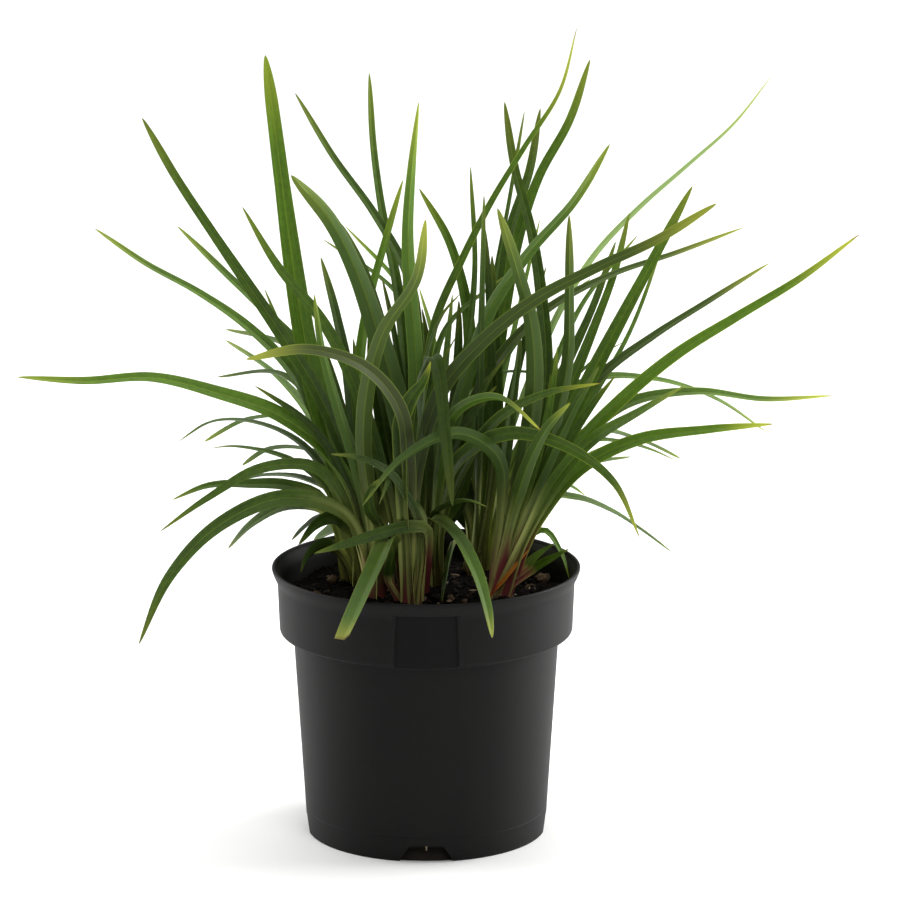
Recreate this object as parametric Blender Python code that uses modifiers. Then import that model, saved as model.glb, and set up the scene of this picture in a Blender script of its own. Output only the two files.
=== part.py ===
"""Potted flax lily: a clump of strap-leaved shoots rooted in potting mix, in a 140 mm nursery pot.

The pot stands on the plane z = 0, centred on the origin, and the front of the plant faces -Y. The pot is
a turned shell with a label panel in its collar, notches in its foot and drain holes. Each shoot is one
solid: the leaf sheaths that wrap round each other at its foot, with its small leaves. Each full-grown leaf
blade is a solid of its own, which starts where its sheath ends. The leaf rows hold millimetres.
"""

from dataclasses import dataclass
from math import cos, pi, radians, sin

import bmesh
import bpy
from mathutils import Matrix, Vector
from mathutils.bvhtree import BVHTree

MM = 0.001
GAP = 0.3

# Pot
POT_HEIGHT = 123.5
LIP_RADIUS = 70.0
LIP_HEIGHT = 3.5
LIP_ROUND = 1.2
COLLAR_TOP_RADIUS = 67.4
COLLAR_BOTTOM_RADIUS = 66.6
COLLAR_HEIGHT = 29.0
SHOULDER_DROP = 7.5
BODY_TOP_RADIUS = 60.0
BASE_RADIUS = 54.6
WALL = 1.6
FLOOR = 2.0
CHANNEL_HEIGHT = 5.0
CHANNEL_INNER_RADIUS = 39.0
RING_STEPS = 32
PANEL_WIDTH = 29.0
PANEL_OFFSET = 0.9
PANEL_TOP = 117.5
PANEL_BOTTOM = 94.5
PANEL_DEPTH = 0.7
PANEL_CUTTER_DEPTH = 12.0
NOTCH_COUNT = 4
NOTCH_FOOT_WIDTH = 25.6
NOTCH_TOP_WIDTH = 15.0
NOTCH_HEIGHT = 6.5
NOTCH_CUTTER_DEPTH = 8.0
NOTCH_CUTTER_OVERLAP = 1.5
HOLE_COUNT = 8
HOLE_RADIUS = 3.6
HOLE_RING_RADIUS = 46.0
DRILL_SIDES = 10
POT_COLOUR = (0.028, 0.029, 0.031)

# Potting mix
MIX_HEIGHT = 110.0
MIX_SWELL = 1.6
MIX_GAP = 0.8
MIX_RINGS = 4
MIX_SIDES = 18
MIX_COLOUR = (0.018, 0.013, 0.010)

# Shoots and leaves
VIEW_POINT = Vector((0.0, -2126.0, 678.0))
ROOT_DEPTH = 7.0
CORE_SIDES = 8
CORE_FOOT_RADIUS = 4.2
CORE_TOP_RADIUS = 2.6
POCKET_RADIUS = 7.4
MOST_LEAN = 2.0
LEAN_SHARE = 0.12
FOOT_SPREAD = 0.35
SPREAD_SHARE = 0.15
DEPTH_POWER = 1.35
SHEATH_LENGTH = 42.0
SHEATH_SHARE = 0.38
SHEATH_WIDTH = 7.0
SHEATH_THICKNESS = 3.6
LEAF_THICKNESS = 1.0
TIP_THICKNESS = 0.7
FOLD_SHARE = 0.16
BASE_WIDTH_SHARE = 0.84
SWELL_SHARE = 0.7
TAPER_SHARE = 0.45
TAPER_POWER = 1.6
POINT_START_POWER = 9.0
POINT_POWER = 0.6
CUT_NARROWING = 0.25
CARRY_STEPS = 60
BAND_LENGTH = 31.0
SMALL_BAND_LENGTH = 46.0
CLEARANCE = 0.45
FOOT_STEP = 1.4
FOOT_STEPS = 8
TIP_STEP = 5.0
TIP_STEPS = 9
LEAF_COLOUR = (0.075, 0.135, 0.028)
SHEATH_COLOUR = (0.22, 0.24, 0.075)


@dataclass(frozen=True)
class Leaf:
    """One leaf.

    depth: how far the tip lies behind the pot's axis; in front of it the depth is below zero
    width: the blade's greatest width
    turn, tip_turn: how far the blade's face is turned away from the front, at the foot and at the tip
    path: points (x, z) from the tip down to the foot, as seen from VIEW_POINT on the plane y = 0
    small: the leaf is made in one piece with its shoot
    cut: the tip is cut off square
    """

    depth: float
    width: float
    turn: float
    tip_turn: float
    path: tuple
    small: bool = False
    cut: bool = False


@dataclass(frozen=True)
class Shoot:
    """A shoot that grows from the point foot, (x, y), with its leaves."""

    foot: tuple
    leaves: tuple


SHOOTS = (
    Shoot((-22, -9), (
        Leaf(-30, 8, 20, 60, ((-184, 211), (-147, 209), (-129, 211), (-114, 209), (-79, 199),
             (-65, 193), (-56, 188), (-38, 167), (-27, 135))),
        Leaf(-15, 7, 0, 20, ((-126, 329), (-110, 300), (-52, 210), (-39, 182), (-29, 149))),
        Leaf(35, 6, 10, 20, ((-10, 301), (-25, 247), (-30, 219), (-25, 145))),
        Leaf(-80, 8, 0, 10, ((0, 283), (-1, 268), (-6, 251), (-13, 238), (-19, 232), (-26, 209),
             (-28, 174), (-24, 145))),
        Leaf(-45, 6, 30, 30, ((-50, 249), (-45, 216), (-31, 168), (-25, 135))),
        Leaf(-40, 6, 20, 60, ((-121, 139), (-85, 164), (-70, 170), (-55, 172), (-41, 159), (-31, 135))),
        Leaf(-70, 8, 30, 70, ((-131, 86), (-115, 121), (-105, 134), (-77, 152), (-63, 155),
             (-50, 154), (-39, 150), (-25, 126))),
        Leaf(-86, 8, 0, 10, ((-38, 89), (-18, 134), (-16, 136), (-15, 131), (-17, 119)), cut=True),
    )),
    Shoot((-8, -15), (
        Leaf(-30, 7, 10, 20, ((-82, 289), (-71, 268), (-53, 246), (-38, 222), (-24, 182), (-15, 145))),
        Leaf(-95, 8, 20, 60, ((-81, 219), (-73, 222), (-57, 224), (-43, 221), (-20, 211), (-11, 194),
             (-9, 185), (-8, 149))),
        Leaf(-50, 7, 30, 60, ((-51, 129), (-1, 143), (0, 135), (-4, 122))),
        Leaf(-55, 7, 0, 0, ((12, 151), (10, 172), (8, 196), (4, 222), (0, 230), (-3, 222), (-3, 200),
             (-2, 163))),
        Leaf(25, 6, 0, 20, ((67, 369), (58, 337), (37, 305), (13, 258), (5, 239), (0, 213),
             (-6, 173), (-8, 145))),
        Leaf(-80, 8, 10, 40, ((130, 290), (120, 282), (47, 245), (14, 216), (9, 209), (0, 186), (-5, 154))),
        Leaf(-20, 4, 10, 10, ((-15, 133), (-16, 114)), small=True),
    )),
    Shoot((1, 12), (
        Leaf(45, 6, 10, 30, ((-58, 340), (-51, 326), (-11, 265), (-4, 232), (0, 149))),
        Leaf(-35, 8, 0, 20, ((-60, 303), (-49, 291), (-37, 273), (-24, 239), (-11, 191), (-5, 154))),
        Leaf(70, 6, 20, 20, ((-25, 349), (-22, 302), (-11, 239), (-7, 159))),
        Leaf(-30, 8, 0, 10, ((-3, 336), (-8, 278), (-4, 204), (-7, 145))),
        Leaf(-86, 7, 0, 10, ((30, 89), (24, 117), (10, 143), (5, 148), (2, 146), (1, 133))),
        Leaf(-75, 6, 20, 40, ((52, 186), (33, 201), (22, 203), (16, 200), (10, 186), (5, 159))),
        Leaf(-85, 7, 30, 60, ((97, 136), (90, 154), (80, 168), (65, 178), (48, 185), (33, 184),
             (21, 179), (12, 168), (5, 145))),
        Leaf(-50, 6, 20, 50, ((79, 208), (45, 201), (36, 195), (22, 179), (9, 149))),
        Leaf(-15, 7, 10, 20, ((82, 317), (64, 288), (39, 259), (27, 237), (9, 177), (3, 145))),
        Leaf(50, 6, 20, 50, ((142, 279), (126, 271), (101, 265), (88, 260), (52, 240), (35, 223),
             (16, 186), (6, 149))),
        Leaf(80, 5, 20, 20, ((20, 307), (18, 294), (22, 251), (16, 209), (6, 168), (2, 135)), small=True),
        Leaf(85, 5, 20, 30, ((74, 256), (55, 242), (40, 226), (20, 186), (6, 145)), small=True),
        Leaf(60, 4, 60, 70, ((59, 212), (32, 212), (22, 208), (11, 186), (4, 149)), small=True),
        Leaf(85, 6, 10, 10, ((12, 249), (2, 145)), small=True),
        Leaf(105, 5, 10, 20, ((-3, 252), (4, 224), (5, 209), (1, 140)), small=True),
        Leaf(60, 5, 10, 20, ((35, 257), (14, 241), (6, 225), (2, 200), (0, 145)), small=True),
    )),
    Shoot((34, 0), (
        Leaf(-60, 7, 20, 40, ((-29, 151), (-19, 166), (-5, 177), (14, 185), (28, 184), (33, 172),
             (35, 131))),
        Leaf(-55, 7, 20, 60, ((157, 189), (107, 184), (82, 177), (65, 164), (58, 155), (39, 121))),
        Leaf(25, 7, 20, 60, ((184, 202), (157, 200), (125, 204), (88, 197), (54, 164), (45, 149),
             (37, 126))),
        Leaf(-30, 8, 10, 40, ((194, 276), (165, 254), (111, 220), (74, 186), (56, 161), (37, 121))),
        Leaf(60, 6, 10, 40, ((154, 263), (88, 220), (79, 212), (60, 184), (37, 126))),
        Leaf(-80, 7, 20, 60, ((117, 207), (70, 178), (59, 163), (39, 123))),
        Leaf(-60, 7, 10, 10, ((65, 199), (55, 188), (46, 170), (36, 135))),
        Leaf(-35, 6, 20, 30, ((78, 216), (65, 193), (38, 131))),
        Leaf(60, 7, 10, 10, ((35, 336), (38, 313), (45, 288), (51, 255), (54, 214), (51, 186), (36, 126))),
        Leaf(-60, 9, 0, 0, ((32, 288), (46, 242), (49, 214), (46, 182), (35, 126))),
        Leaf(-10, 7, 0, 0, ((64, 285), (64, 229), (61, 200), (37, 126))),
        Leaf(30, 8, 0, 20, ((119, 298), (61, 184), (37, 126))),
        Leaf(55, 6, 10, 20, ((91, 286), (83, 254), (38, 135))),
        Leaf(5, 4, 20, 30, ((59, 134), (49, 127), (41, 117)), small=True),
        Leaf(-20, 4, 20, 40, ((65, 131), (49, 122), (42, 115)), small=True),
        Leaf(5, 3, 20, 40, ((65, 117), (60, 132), (53, 140), (46, 136), (40, 125)), small=True),
        Leaf(55, 5, 20, 60, ((93, 174), (79, 172), (62, 165), (49, 149), (38, 126)), small=True),
        Leaf(85, 4, 20, 30, ((106, 271), (104, 258), (94, 236), (54, 163), (39, 131)), small=True),
    )),
    Shoot((23, 40), (
        Leaf(110, 6, 20, 60, ((115, 173), (94, 183), (78, 186), (60, 178), (42, 159), (30, 135))),
        Leaf(90, 6, 20, 60, ((154, 185), (122, 206), (111, 209), (81, 210), (68, 207), (49, 189),
             (33, 154))),
        Leaf(90, 6, 20, 60, ((112, 129), (86, 148), (61, 156), (45, 152), (31, 133))),
        Leaf(45, 7, 0, 20, ((73, 355), (67, 334), (46, 291), (33, 228), (24, 149))),
        Leaf(95, 6, 10, 20, ((51, 333), (49, 313), (39, 284), (24, 154))),
        Leaf(90, 4, 10, 30, ((154, 348), (138, 327), (90, 283), (70, 259), (56, 232), (40, 191),
             (29, 149))),
        Leaf(95, 6, 10, 20, ((85, 273), (77, 248), (29, 140))),
        Leaf(60, 7, 0, 10, ((-3, 297), (10, 274), (18, 245), (23, 159))),
        Leaf(95, 5, 20, 30, ((-36, 280), (-16, 254), (-11, 252), (0, 228), (19, 149)), small=True),
        Leaf(115, 5, 20, 30, ((-46, 274), (-12, 248), (0, 223), (13, 182), (20, 149)), small=True),
        Leaf(-6, 4, 10, 10, ((7, 106), (12, 133), (16, 136), (19, 133)), small=True),
        Leaf(125, 5, 20, 60, ((81, 179), (49, 159), (34, 138)), small=True),
        Leaf(115, 4, 20, 60, ((72, 156), (59, 162), (45, 154), (33, 135)), small=True),
        Leaf(110, 4, 20, 20, ((44, 332), (45, 315), (43, 304), (34, 283), (30, 246),
             (24, 154)), small=True),
        Leaf(-25, 5, 20, 20, ((26, 294), (23, 145)), small=True),
        Leaf(130, 4, 20, 20, ((51, 283), (33, 200), (27, 154)), small=True),
        Leaf(120, 5, 20, 40, ((95, 276), (78, 259), (65, 232), (31, 149)), small=True),
    )),
    Shoot((-30, 25), (
        Leaf(75, 7, 20, 50, ((-148, 279), (-121, 260), (-96, 246), (-71, 226), (-58, 210), (-46, 184),
             (-37, 154))),
        Leaf(90, 6, 20, 40, ((-111, 280), (-102, 268), (-88, 257), (-46, 211), (-39, 191), (-34, 159))),
        Leaf(35, 9, 0, 10, ((-71, 357), (-54, 226), (-39, 163))),
        Leaf(75, 7, 10, 20, ((-47, 266), (-36, 219), (-30, 149))),
        Leaf(90, 5, 20, 60, ((-112, 181), (-104, 188), (-95, 191), (-81, 191), (-68, 187), (-56, 180),
             (-43, 161), (-36, 140))),
        Leaf(15, 6, 20, 60, ((-115, 154), (-106, 159), (-95, 161), (-66, 161), (-52, 158), (-41, 147),
             (-34, 131))),
        Leaf(100, 6, 20, 50, ((-90, 233), (-71, 229), (-62, 225), (-48, 205), (-37, 168)), small=True),
        Leaf(115, 6, 20, 50, ((-90, 228), (-75, 218), (-57, 200), (-40, 168)), small=True),
        Leaf(85, 6, 20, 60, ((-94, 211), (-64, 212), (-49, 199), (-37, 163)), small=True),
        Leaf(110, 5, 20, 60, ((-100, 181), (-81, 191), (-59, 195), (-46, 182), (-37, 154)), small=True),
        Leaf(105, 5, 20, 60, ((-83, 170), (-70, 178), (-50, 176), (-39, 159), (-34, 140)), small=True),
        Leaf(80, 5, 20, 60, ((-86, 163), (-77, 166), (-63, 165), (-50, 162), (-39, 152),
             (-33, 133)), small=True),
        Leaf(35, 6, 20, 60, ((-90, 131), (-82, 140), (-72, 147), (-60, 152), (-51, 152), (-40, 143),
             (-33, 130)), small=True),
        Leaf(50, 5, 20, 60, ((-61, 135), (-48, 147), (-40, 145), (-33, 132)), small=True),
        Leaf(-5, 5, 20, 60, ((-58, 133), (-45, 147), (-37, 142), (-31, 129)), small=True),
        Leaf(80, 5, 20, 60, ((-51, 135), (-39, 141), (-34, 136), (-31, 126)), small=True),
        Leaf(0, 5, 10, 30, ((-57, 120), (-52, 130), (-46, 133), (-39, 130), (-34, 123)), small=True),
    )),
)


def material(name, colour, roughness):
    """Return a plain, non-metallic material with an RGB colour."""
    made = bpy.data.materials.new(name)
    made.use_nodes = True
    shader = made.node_tree.nodes["Principled BSDF"]
    shader.inputs["Base Color"].default_value = (*colour, 1.0)
    shader.inputs["Roughness"].default_value = roughness
    shader.inputs["Metallic"].default_value = 0.0
    made.diffuse_color = (*colour, 1.0)
    return made


def object_from(bm, name, collection, finish=None):
    """Turn a bmesh in millimetres into an object in metres, facing outwards."""
    bmesh.ops.recalc_face_normals(bm, faces=bm.faces)
    bmesh.ops.scale(bm, vec=(MM, MM, MM), verts=bm.verts)
    mesh = bpy.data.meshes.new(name)
    bm.to_mesh(mesh)
    bm.free()
    made = bpy.data.objects.new(name, mesh)
    collection.objects.link(made)
    if finish:
        mesh.materials.append(finish)
    return made


def new_collection(name, parent=None):
    """Add a collection to the scene, or inside another one."""
    made = bpy.data.collections.new(name)
    (parent or bpy.context.scene.collection).children.link(made)
    return made


def as_helper(made):
    """Mark a cutter or a joined shape as a helper that isn't part of the model."""
    made.hide_render = True
    made.display_type = "WIRE"
    return made


def boolean(made, operation, operand=None, collection=None):
    """Add an exact Boolean with one object or with all objects of a collection."""
    modifier = made.modifiers.new(operation.title(), "BOOLEAN")
    modifier.operation = operation
    modifier.solver = "EXACT"
    if collection:
        modifier.operand_type = "COLLECTION"
        modifier.collection = collection
    else:
        modifier.object = operand


def turned(name, profile, steps, collection, finish):
    """Turn a profile of (radius, height) points, which starts and ends on the axis, into a closed shell."""
    bm = bmesh.new()
    corners = [bm.verts.new((radius, 0.0, height)) for radius, height in profile]
    for start, end in zip(corners, corners[1:]):
        bm.edges.new((start, end))
    made = object_from(bm, name, collection, finish)
    screw = made.modifiers.new("Turn", "SCREW")
    screw.steps = steps
    screw.render_steps = steps
    screw.use_merge_vertices = True
    screw.merge_threshold = 0.00001
    return made


def inner_radius(height):
    """Radius of the pot's inside at a height, from the inner corner of the floor to the rim."""
    shoulder = POT_HEIGHT - COLLAR_HEIGHT - SHOULDER_DROP
    if height > shoulder + SHOULDER_DROP:
        return COLLAR_BOTTOM_RADIUS - WALL
    if height > shoulder:
        share = (height - shoulder) / SHOULDER_DROP
        return BODY_TOP_RADIUS - WALL + share * (COLLAR_BOTTOM_RADIUS - BODY_TOP_RADIUS)
    return BASE_RADIUS - WALL + height / shoulder * (BODY_TOP_RADIUS - BASE_RADIUS)


def pot_profile():
    """Profile of the pot: up the inside, over the lip, down the outside and under the base."""
    collar_bottom = POT_HEIGHT - COLLAR_HEIGHT
    shoulder = collar_bottom - SHOULDER_DROP
    channel_outer = BASE_RADIUS - WALL
    inside_floor = CHANNEL_HEIGHT + FLOOR
    return [
        (0.0, FLOOR),
        (CHANNEL_INNER_RADIUS - FLOOR, FLOOR),
        (CHANNEL_INNER_RADIUS, inside_floor),
        (inner_radius(inside_floor), inside_floor),
        (inner_radius(shoulder), shoulder),
        (inner_radius(collar_bottom + 1.0), collar_bottom),
        (COLLAR_TOP_RADIUS - WALL, POT_HEIGHT),
        (LIP_RADIUS - LIP_ROUND, POT_HEIGHT),
        (LIP_RADIUS, POT_HEIGHT - LIP_ROUND),
        (COLLAR_TOP_RADIUS, POT_HEIGHT - LIP_HEIGHT),
        (COLLAR_BOTTOM_RADIUS, collar_bottom),
        (BODY_TOP_RADIUS, shoulder),
        (BASE_RADIUS, 0.0),
        (channel_outer, 0.0),
        (channel_outer, CHANNEL_HEIGHT),
        (CHANNEL_INNER_RADIUS + FLOOR, CHANNEL_HEIGHT),
        (CHANNEL_INNER_RADIUS, 0.0),
        (0.0, 0.0),
    ]


def notch_cutter(angle, cutters):
    """A trapezoid bar that opens the foot ring outwards at one angle."""
    bm = bmesh.new()
    foot, top = NOTCH_FOOT_WIDTH / 2, NOTCH_TOP_WIDTH / 2
    below = -1.0
    start = BASE_RADIUS - WALL - NOTCH_CUTTER_OVERLAP
    corners = [(-foot, below), (foot, below), (top, NOTCH_HEIGHT), (-top, NOTCH_HEIGHT)]
    face = bm.faces.new([bm.verts.new((x, -start, z)) for x, z in corners])
    outer = bmesh.ops.extrude_face_region(bm, geom=[face])["geom"]
    moved = [item for item in outer if isinstance(item, bmesh.types.BMVert)]
    bmesh.ops.translate(bm, vec=(0.0, -NOTCH_CUTTER_DEPTH, 0.0), verts=moved)
    bmesh.ops.rotate(bm, cent=(0, 0, 0), matrix=Matrix.Rotation(angle, 3, "Z"), verts=bm.verts)
    return as_helper(object_from(bm, "notch_cutter", cutters))


def hole_cutter(angle, cutters):
    """A drill for one drain hole in the channel."""
    bm = bmesh.new()
    place = Matrix.Rotation(angle, 4, "Z") @ Matrix.Translation((HOLE_RING_RADIUS, 0.0, CHANNEL_HEIGHT))
    bmesh.ops.create_cone(bm, cap_ends=True, segments=DRILL_SIDES, radius1=HOLE_RADIUS, radius2=HOLE_RADIUS,
                          depth=4 * FLOOR, matrix=place)
    return as_helper(object_from(bm, "hole_cutter", cutters))


def panel_cutter(cutters):
    """A block whose inner face follows the collar, for the shallow label panel."""
    bm = bmesh.new()
    size = Matrix.Diagonal((PANEL_WIDTH, PANEL_CUTTER_DEPTH, PANEL_TOP - PANEL_BOTTOM, 1.0))
    place = Matrix.Translation((PANEL_OFFSET, -COLLAR_TOP_RADIUS, (PANEL_TOP + PANEL_BOTTOM) / 2))
    bmesh.ops.create_cube(bm, size=1.0, matrix=place @ size)
    block = as_helper(object_from(bm, "panel_cutter", cutters))
    core = bmesh.new()
    bmesh.ops.create_cone(core, cap_ends=True, segments=2 * RING_STEPS,
                          radius1=COLLAR_BOTTOM_RADIUS - PANEL_DEPTH, radius2=COLLAR_TOP_RADIUS - PANEL_DEPTH,
                          depth=2 * COLLAR_HEIGHT, matrix=Matrix.Translation((0.0, 0.0, PANEL_BOTTOM)))
    boolean(block, "DIFFERENCE", as_helper(object_from(core, "panel_core", cutters)))
    return block


def build_pot(parts, cutters):
    """The nursery pot, with its label panel, foot notches and drain holes."""
    plastic = material("moulded_pot_plastic", POT_COLOUR, 0.45)
    pot = turned("pot", pot_profile(), RING_STEPS, parts, plastic)
    boolean(pot, "DIFFERENCE", panel_cutter(cutters))
    for index in range(NOTCH_COUNT):
        boolean(pot, "DIFFERENCE", notch_cutter(2 * pi * index / NOTCH_COUNT, cutters))
    for index in range(HOLE_COUNT):
        boolean(pot, "DIFFERENCE", hole_cutter(2 * pi * (index + 0.5) / HOLE_COUNT, cutters))
    return pot


def mix_surface(x, y):
    """Height of the potting mix at a place: a few low swells."""
    swell = sin(0.11 * x + 1.0) * cos(0.13 * y - 0.4) + 0.5 * sin(0.31 * x - 0.23 * y)
    return MIX_HEIGHT + MIX_SWELL * swell


def build_mix(parts, cutters):
    """The potting mix, which fills the pot to below the rim, with a pocket round each shoot's foot."""
    floor = CHANNEL_HEIGHT + FLOOR + GAP
    shoulder = POT_HEIGHT - COLLAR_HEIGHT - SHOULDER_DROP
    levels = (floor, shoulder, shoulder + SHOULDER_DROP, MIX_HEIGHT)
    side = [(inner_radius(z) - MIX_GAP, z) for z in levels]
    top_radius = side[-1][0]
    top = [(top_radius * ring / MIX_RINGS, MIX_HEIGHT) for ring in range(MIX_RINGS - 1, -1, -1)]
    bm = bmesh.new()
    corners = [bm.verts.new((radius, 0.0, z)) for radius, z in [(0.0, floor)] + side + top]
    edges = [bm.edges.new(pair) for pair in zip(corners, corners[1:])]
    bmesh.ops.spin(bm, geom=corners + edges, cent=(0, 0, 0), axis=(0, 0, 1), angle=2 * pi, steps=MIX_SIDES,
                   use_merge=True)
    bmesh.ops.remove_doubles(bm, verts=bm.verts, dist=0.01)
    for vert in bm.verts:
        if vert.co.z > MIX_HEIGHT - 0.1:
            vert.co.z = mix_surface(vert.co.x, vert.co.y)
    bmesh.ops.triangulate(bm, faces=bm.faces)
    mix = object_from(bm, "potting_mix", parts, material("potting_mix_bark", MIX_COLOUR, 0.95))
    drill = bmesh.new()
    for shoot in SHOOTS:
        place = Matrix.Translation((*shoot.foot, MIX_HEIGHT))
        bmesh.ops.create_cone(drill, cap_ends=True, segments=DRILL_SIDES, radius1=POCKET_RADIUS,
                              radius2=POCKET_RADIUS, depth=2 * (ROOT_DEPTH + GAP), matrix=place)
    boolean(mix, "DIFFERENCE", as_helper(object_from(drill, "pocket_cutter", cutters)))
    return mix


def ease(share):
    """A smooth step from 0 to 1."""
    share = min(1.0, max(0.0, share))
    return share * share * (3.0 - 2.0 * share)


class Curve:
    """A smooth curve through points, read by its length from the first one."""

    def __init__(self, points):
        """Measure the distances between the points and the slope at each one."""
        knots = [0.0]
        for start, end in zip(points, points[1:]):
            knots.append(knots[-1] + (end - start).length)
        slopes = []
        for index in range(len(points)):
            before, after = max(0, index - 1), min(len(points) - 1, index + 1)
            slopes.append((points[after] - points[before]) / (knots[after] - knots[before]))
        self.points, self.knots, self.slopes = points, knots, slopes
        self.length = knots[-1]

    def at(self, distance):
        """Return the point of the curve at a distance."""
        distance = min(self.length, max(0.0, distance))
        index = max(k for k in range(len(self.knots) - 1) if self.knots[k] <= distance)
        span = self.knots[index + 1] - self.knots[index]
        u = (distance - self.knots[index]) / span
        start, end = self.points[index], self.points[index + 1]
        leave, arrive = self.slopes[index] * span, self.slopes[index + 1] * span
        return ((2 * u**3 - 3 * u**2 + 1) * start + (u**3 - 2 * u**2 + u) * leave
                + (3 * u**2 - 2 * u**3) * end + (u**3 - u**2) * arrive)

    def direction(self, distance):
        """Return the curve's unit direction at a distance."""
        step = 0.5
        return (self.at(distance + step) - self.at(distance - step)).normalized()


def leaf_curve(shoot, leaf, foot_shift, depth):
    """The leaf's middle line, from its root in the mix to its tip."""
    foot = Vector((shoot.foot[0], shoot.foot[1] + FOOT_SPREAD * foot_shift, MIX_HEIGHT))
    flat = [Vector((x, 0.0, z)) for x, z in reversed(leaf.path)]
    lean = max(-MOST_LEAN, min(MOST_LEAN, LEAN_SHARE * (flat[0].x - foot.x)))
    foot.x += lean
    scale = -VIEW_POINT.y / (foot.y - VIEW_POINT.y)
    seen_foot = VIEW_POINT + (foot - VIEW_POINT) * scale
    travelled = [(flat[0] - seen_foot).length]
    for start, end in zip(flat, flat[1:]):
        travelled.append(travelled[-1] + (end - start).length)
    points = [foot - Vector((0.5 * lean, 0.0, ROOT_DEPTH)), foot]
    start_depth = shoot.foot[1] + foot_shift
    for place, distance in zip(flat, travelled):
        share = distance / travelled[-1]
        y = foot.y + (start_depth - foot.y) * ease(share / SPREAD_SHARE)
        y += (depth - start_depth) * share**DEPTH_POWER
        points.append(VIEW_POINT + (place - VIEW_POINT) * (y - VIEW_POINT.y) / -VIEW_POINT.y)
    return Curve(points)


def sheath_end(curve):
    """The distance from the root at which the blade leaves its sheath."""
    return ROOT_DEPTH + min(SHEATH_LENGTH, SHEATH_SHARE * (curve.length - ROOT_DEPTH))


def blade_width(leaf, share):
    """Width of the blade at a share of its length: widest near a third, then tapering to a blunt point."""
    if leaf.cut:
        return leaf.width * (1.0 - CUT_NARROWING * share**3)
    swell = BASE_WIDTH_SHARE + (1.0 - BASE_WIDTH_SHARE) * sin(pi * min(1.0, share / SWELL_SHARE))
    taper = 1.0 - TAPER_SHARE * share**TAPER_POWER
    return leaf.width * swell * taper * (1.0 - share**POINT_START_POWER) ** POINT_POWER


def frames(curve, leaf, stops):
    """Return (centre, across, up) at each distance; the section is carried along the curve without spin."""
    lean = -1.0 if curve.points[-1].x > curve.points[0].x else 1.0
    turn = radians(leaf.turn)
    across = Vector((lean * cos(turn), sin(turn), 0.0))
    spin = lean * radians(leaf.tip_turn - leaf.turn)
    heading = curve.direction(0.0)
    carried, found, total_up = [], [], 0.0
    for step in range(CARRY_STEPS + 1):
        distance = curve.length * step / CARRY_STEPS
        new_heading = curve.direction(distance)
        across = heading.rotation_difference(new_heading) @ across
        across = (across - new_heading * across.dot(new_heading)).normalized()
        heading = new_heading
        carried.append(across.copy())
    for stop in stops:
        place = stop / curve.length * CARRY_STEPS
        index = min(CARRY_STEPS - 1, int(place))
        blend = carried[index].lerp(carried[index + 1], place - index)
        heading = curve.direction(stop)
        across = (blend - heading * blend.dot(heading)).normalized()
        across = Matrix.Rotation(spin * ease(stop / curve.length), 3, heading) @ across
        up = across.cross(heading)
        total_up += up.z
        found.append([curve.at(stop), across, up])
    if total_up < 0.0:
        for frame in found:
            frame[2] = -frame[2]
    return found


def section(bm, frame, width, thickness):
    """Add one folded cross-section, a ring of edge, top, edge and keel."""
    centre, across, up = frame
    fold = FOLD_SHARE * width
    offsets = (
        0.5 * width * across + 0.5 * fold * up,
        (0.5 * thickness - 0.5 * fold) * up,
        -0.5 * width * across + 0.5 * fold * up,
        (-0.5 * thickness - 0.5 * fold) * up,
    )
    return [bm.verts.new(centre + offset) for offset in offsets]


def loft(bm, rings):
    """Skin a row of four-point rings, with a lid on the first one and on the last."""
    for lower, upper in zip(rings, rings[1:]):
        for index in range(4):
            following = (index + 1) % 4
            if len(upper) == 1:
                bm.faces.new((lower[index], lower[following], upper[0]))
            else:
                bm.faces.new((lower[index], lower[following], upper[following], upper[index]))
    for ring in (rings[0], rings[-1]):
        if len(ring) == 4:
            bm.faces.new((ring[0], ring[1], ring[3]))
            bm.faces.new((ring[1], ring[2], ring[3]))


def strip_size(curve, leaf, distance):
    """Width and thickness of a leaf at a distance: a thick sheath below, a thin blade above."""
    end = sheath_end(curve)
    if distance < end:
        share = distance / end
        foot_width = min(leaf.width, SHEATH_WIDTH)
        width = foot_width + share * (blade_width(leaf, 0.0) - foot_width)
        return width, SHEATH_THICKNESS + share * (LEAF_THICKNESS - SHEATH_THICKNESS)
    share = (distance - end) / (curve.length - end)
    return blade_width(leaf, share), LEAF_THICKNESS + share * (TIP_THICKNESS - LEAF_THICKNESS)


def strip_mesh(curve, leaf, stops, extra=0.0):
    """The strip of a leaf through the given distances, made thicker and wider all round by extra."""
    bm = bmesh.new()
    rings = []
    for stop, frame in zip(stops, frames(curve, leaf, stops)):
        width, thickness = strip_size(curve, leaf, stop)
        if stop == curve.length and not leaf.cut:
            rings.append([bm.verts.new(frame[0] + extra * curve.direction(stop))])
        else:
            rings.append(section(bm, frame, width + 2 * extra, thickness + 2 * extra))
    loft(bm, rings)
    return bm


def sheath_stops(curve):
    """Distances of the sheath's sections, from the root up."""
    return [sheath_end(curve) * share for share in (0.0, 0.5, 1.0)]


def blade_stops(curve, leaf, start):
    """Distances of the blade's sections, up to the tip."""
    length = curve.length - start
    band = SMALL_BAND_LENGTH if leaf.small else BAND_LENGTH
    bands = max(3 if leaf.small else 4, round(length / band))
    return [start + length * index / bands for index in range(bands)] + [curve.length]


def tree(bm):
    """Turn a bmesh into a search tree, with its lowest and highest corners."""
    points = [vert.co for vert in bm.verts]
    low = [min(point[axis] for point in points) for axis in range(3)]
    high = [max(point[axis] for point in points) for axis in range(3)]
    made = BVHTree.FromBMesh(bm)
    bm.free()
    return made, low, high


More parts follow.
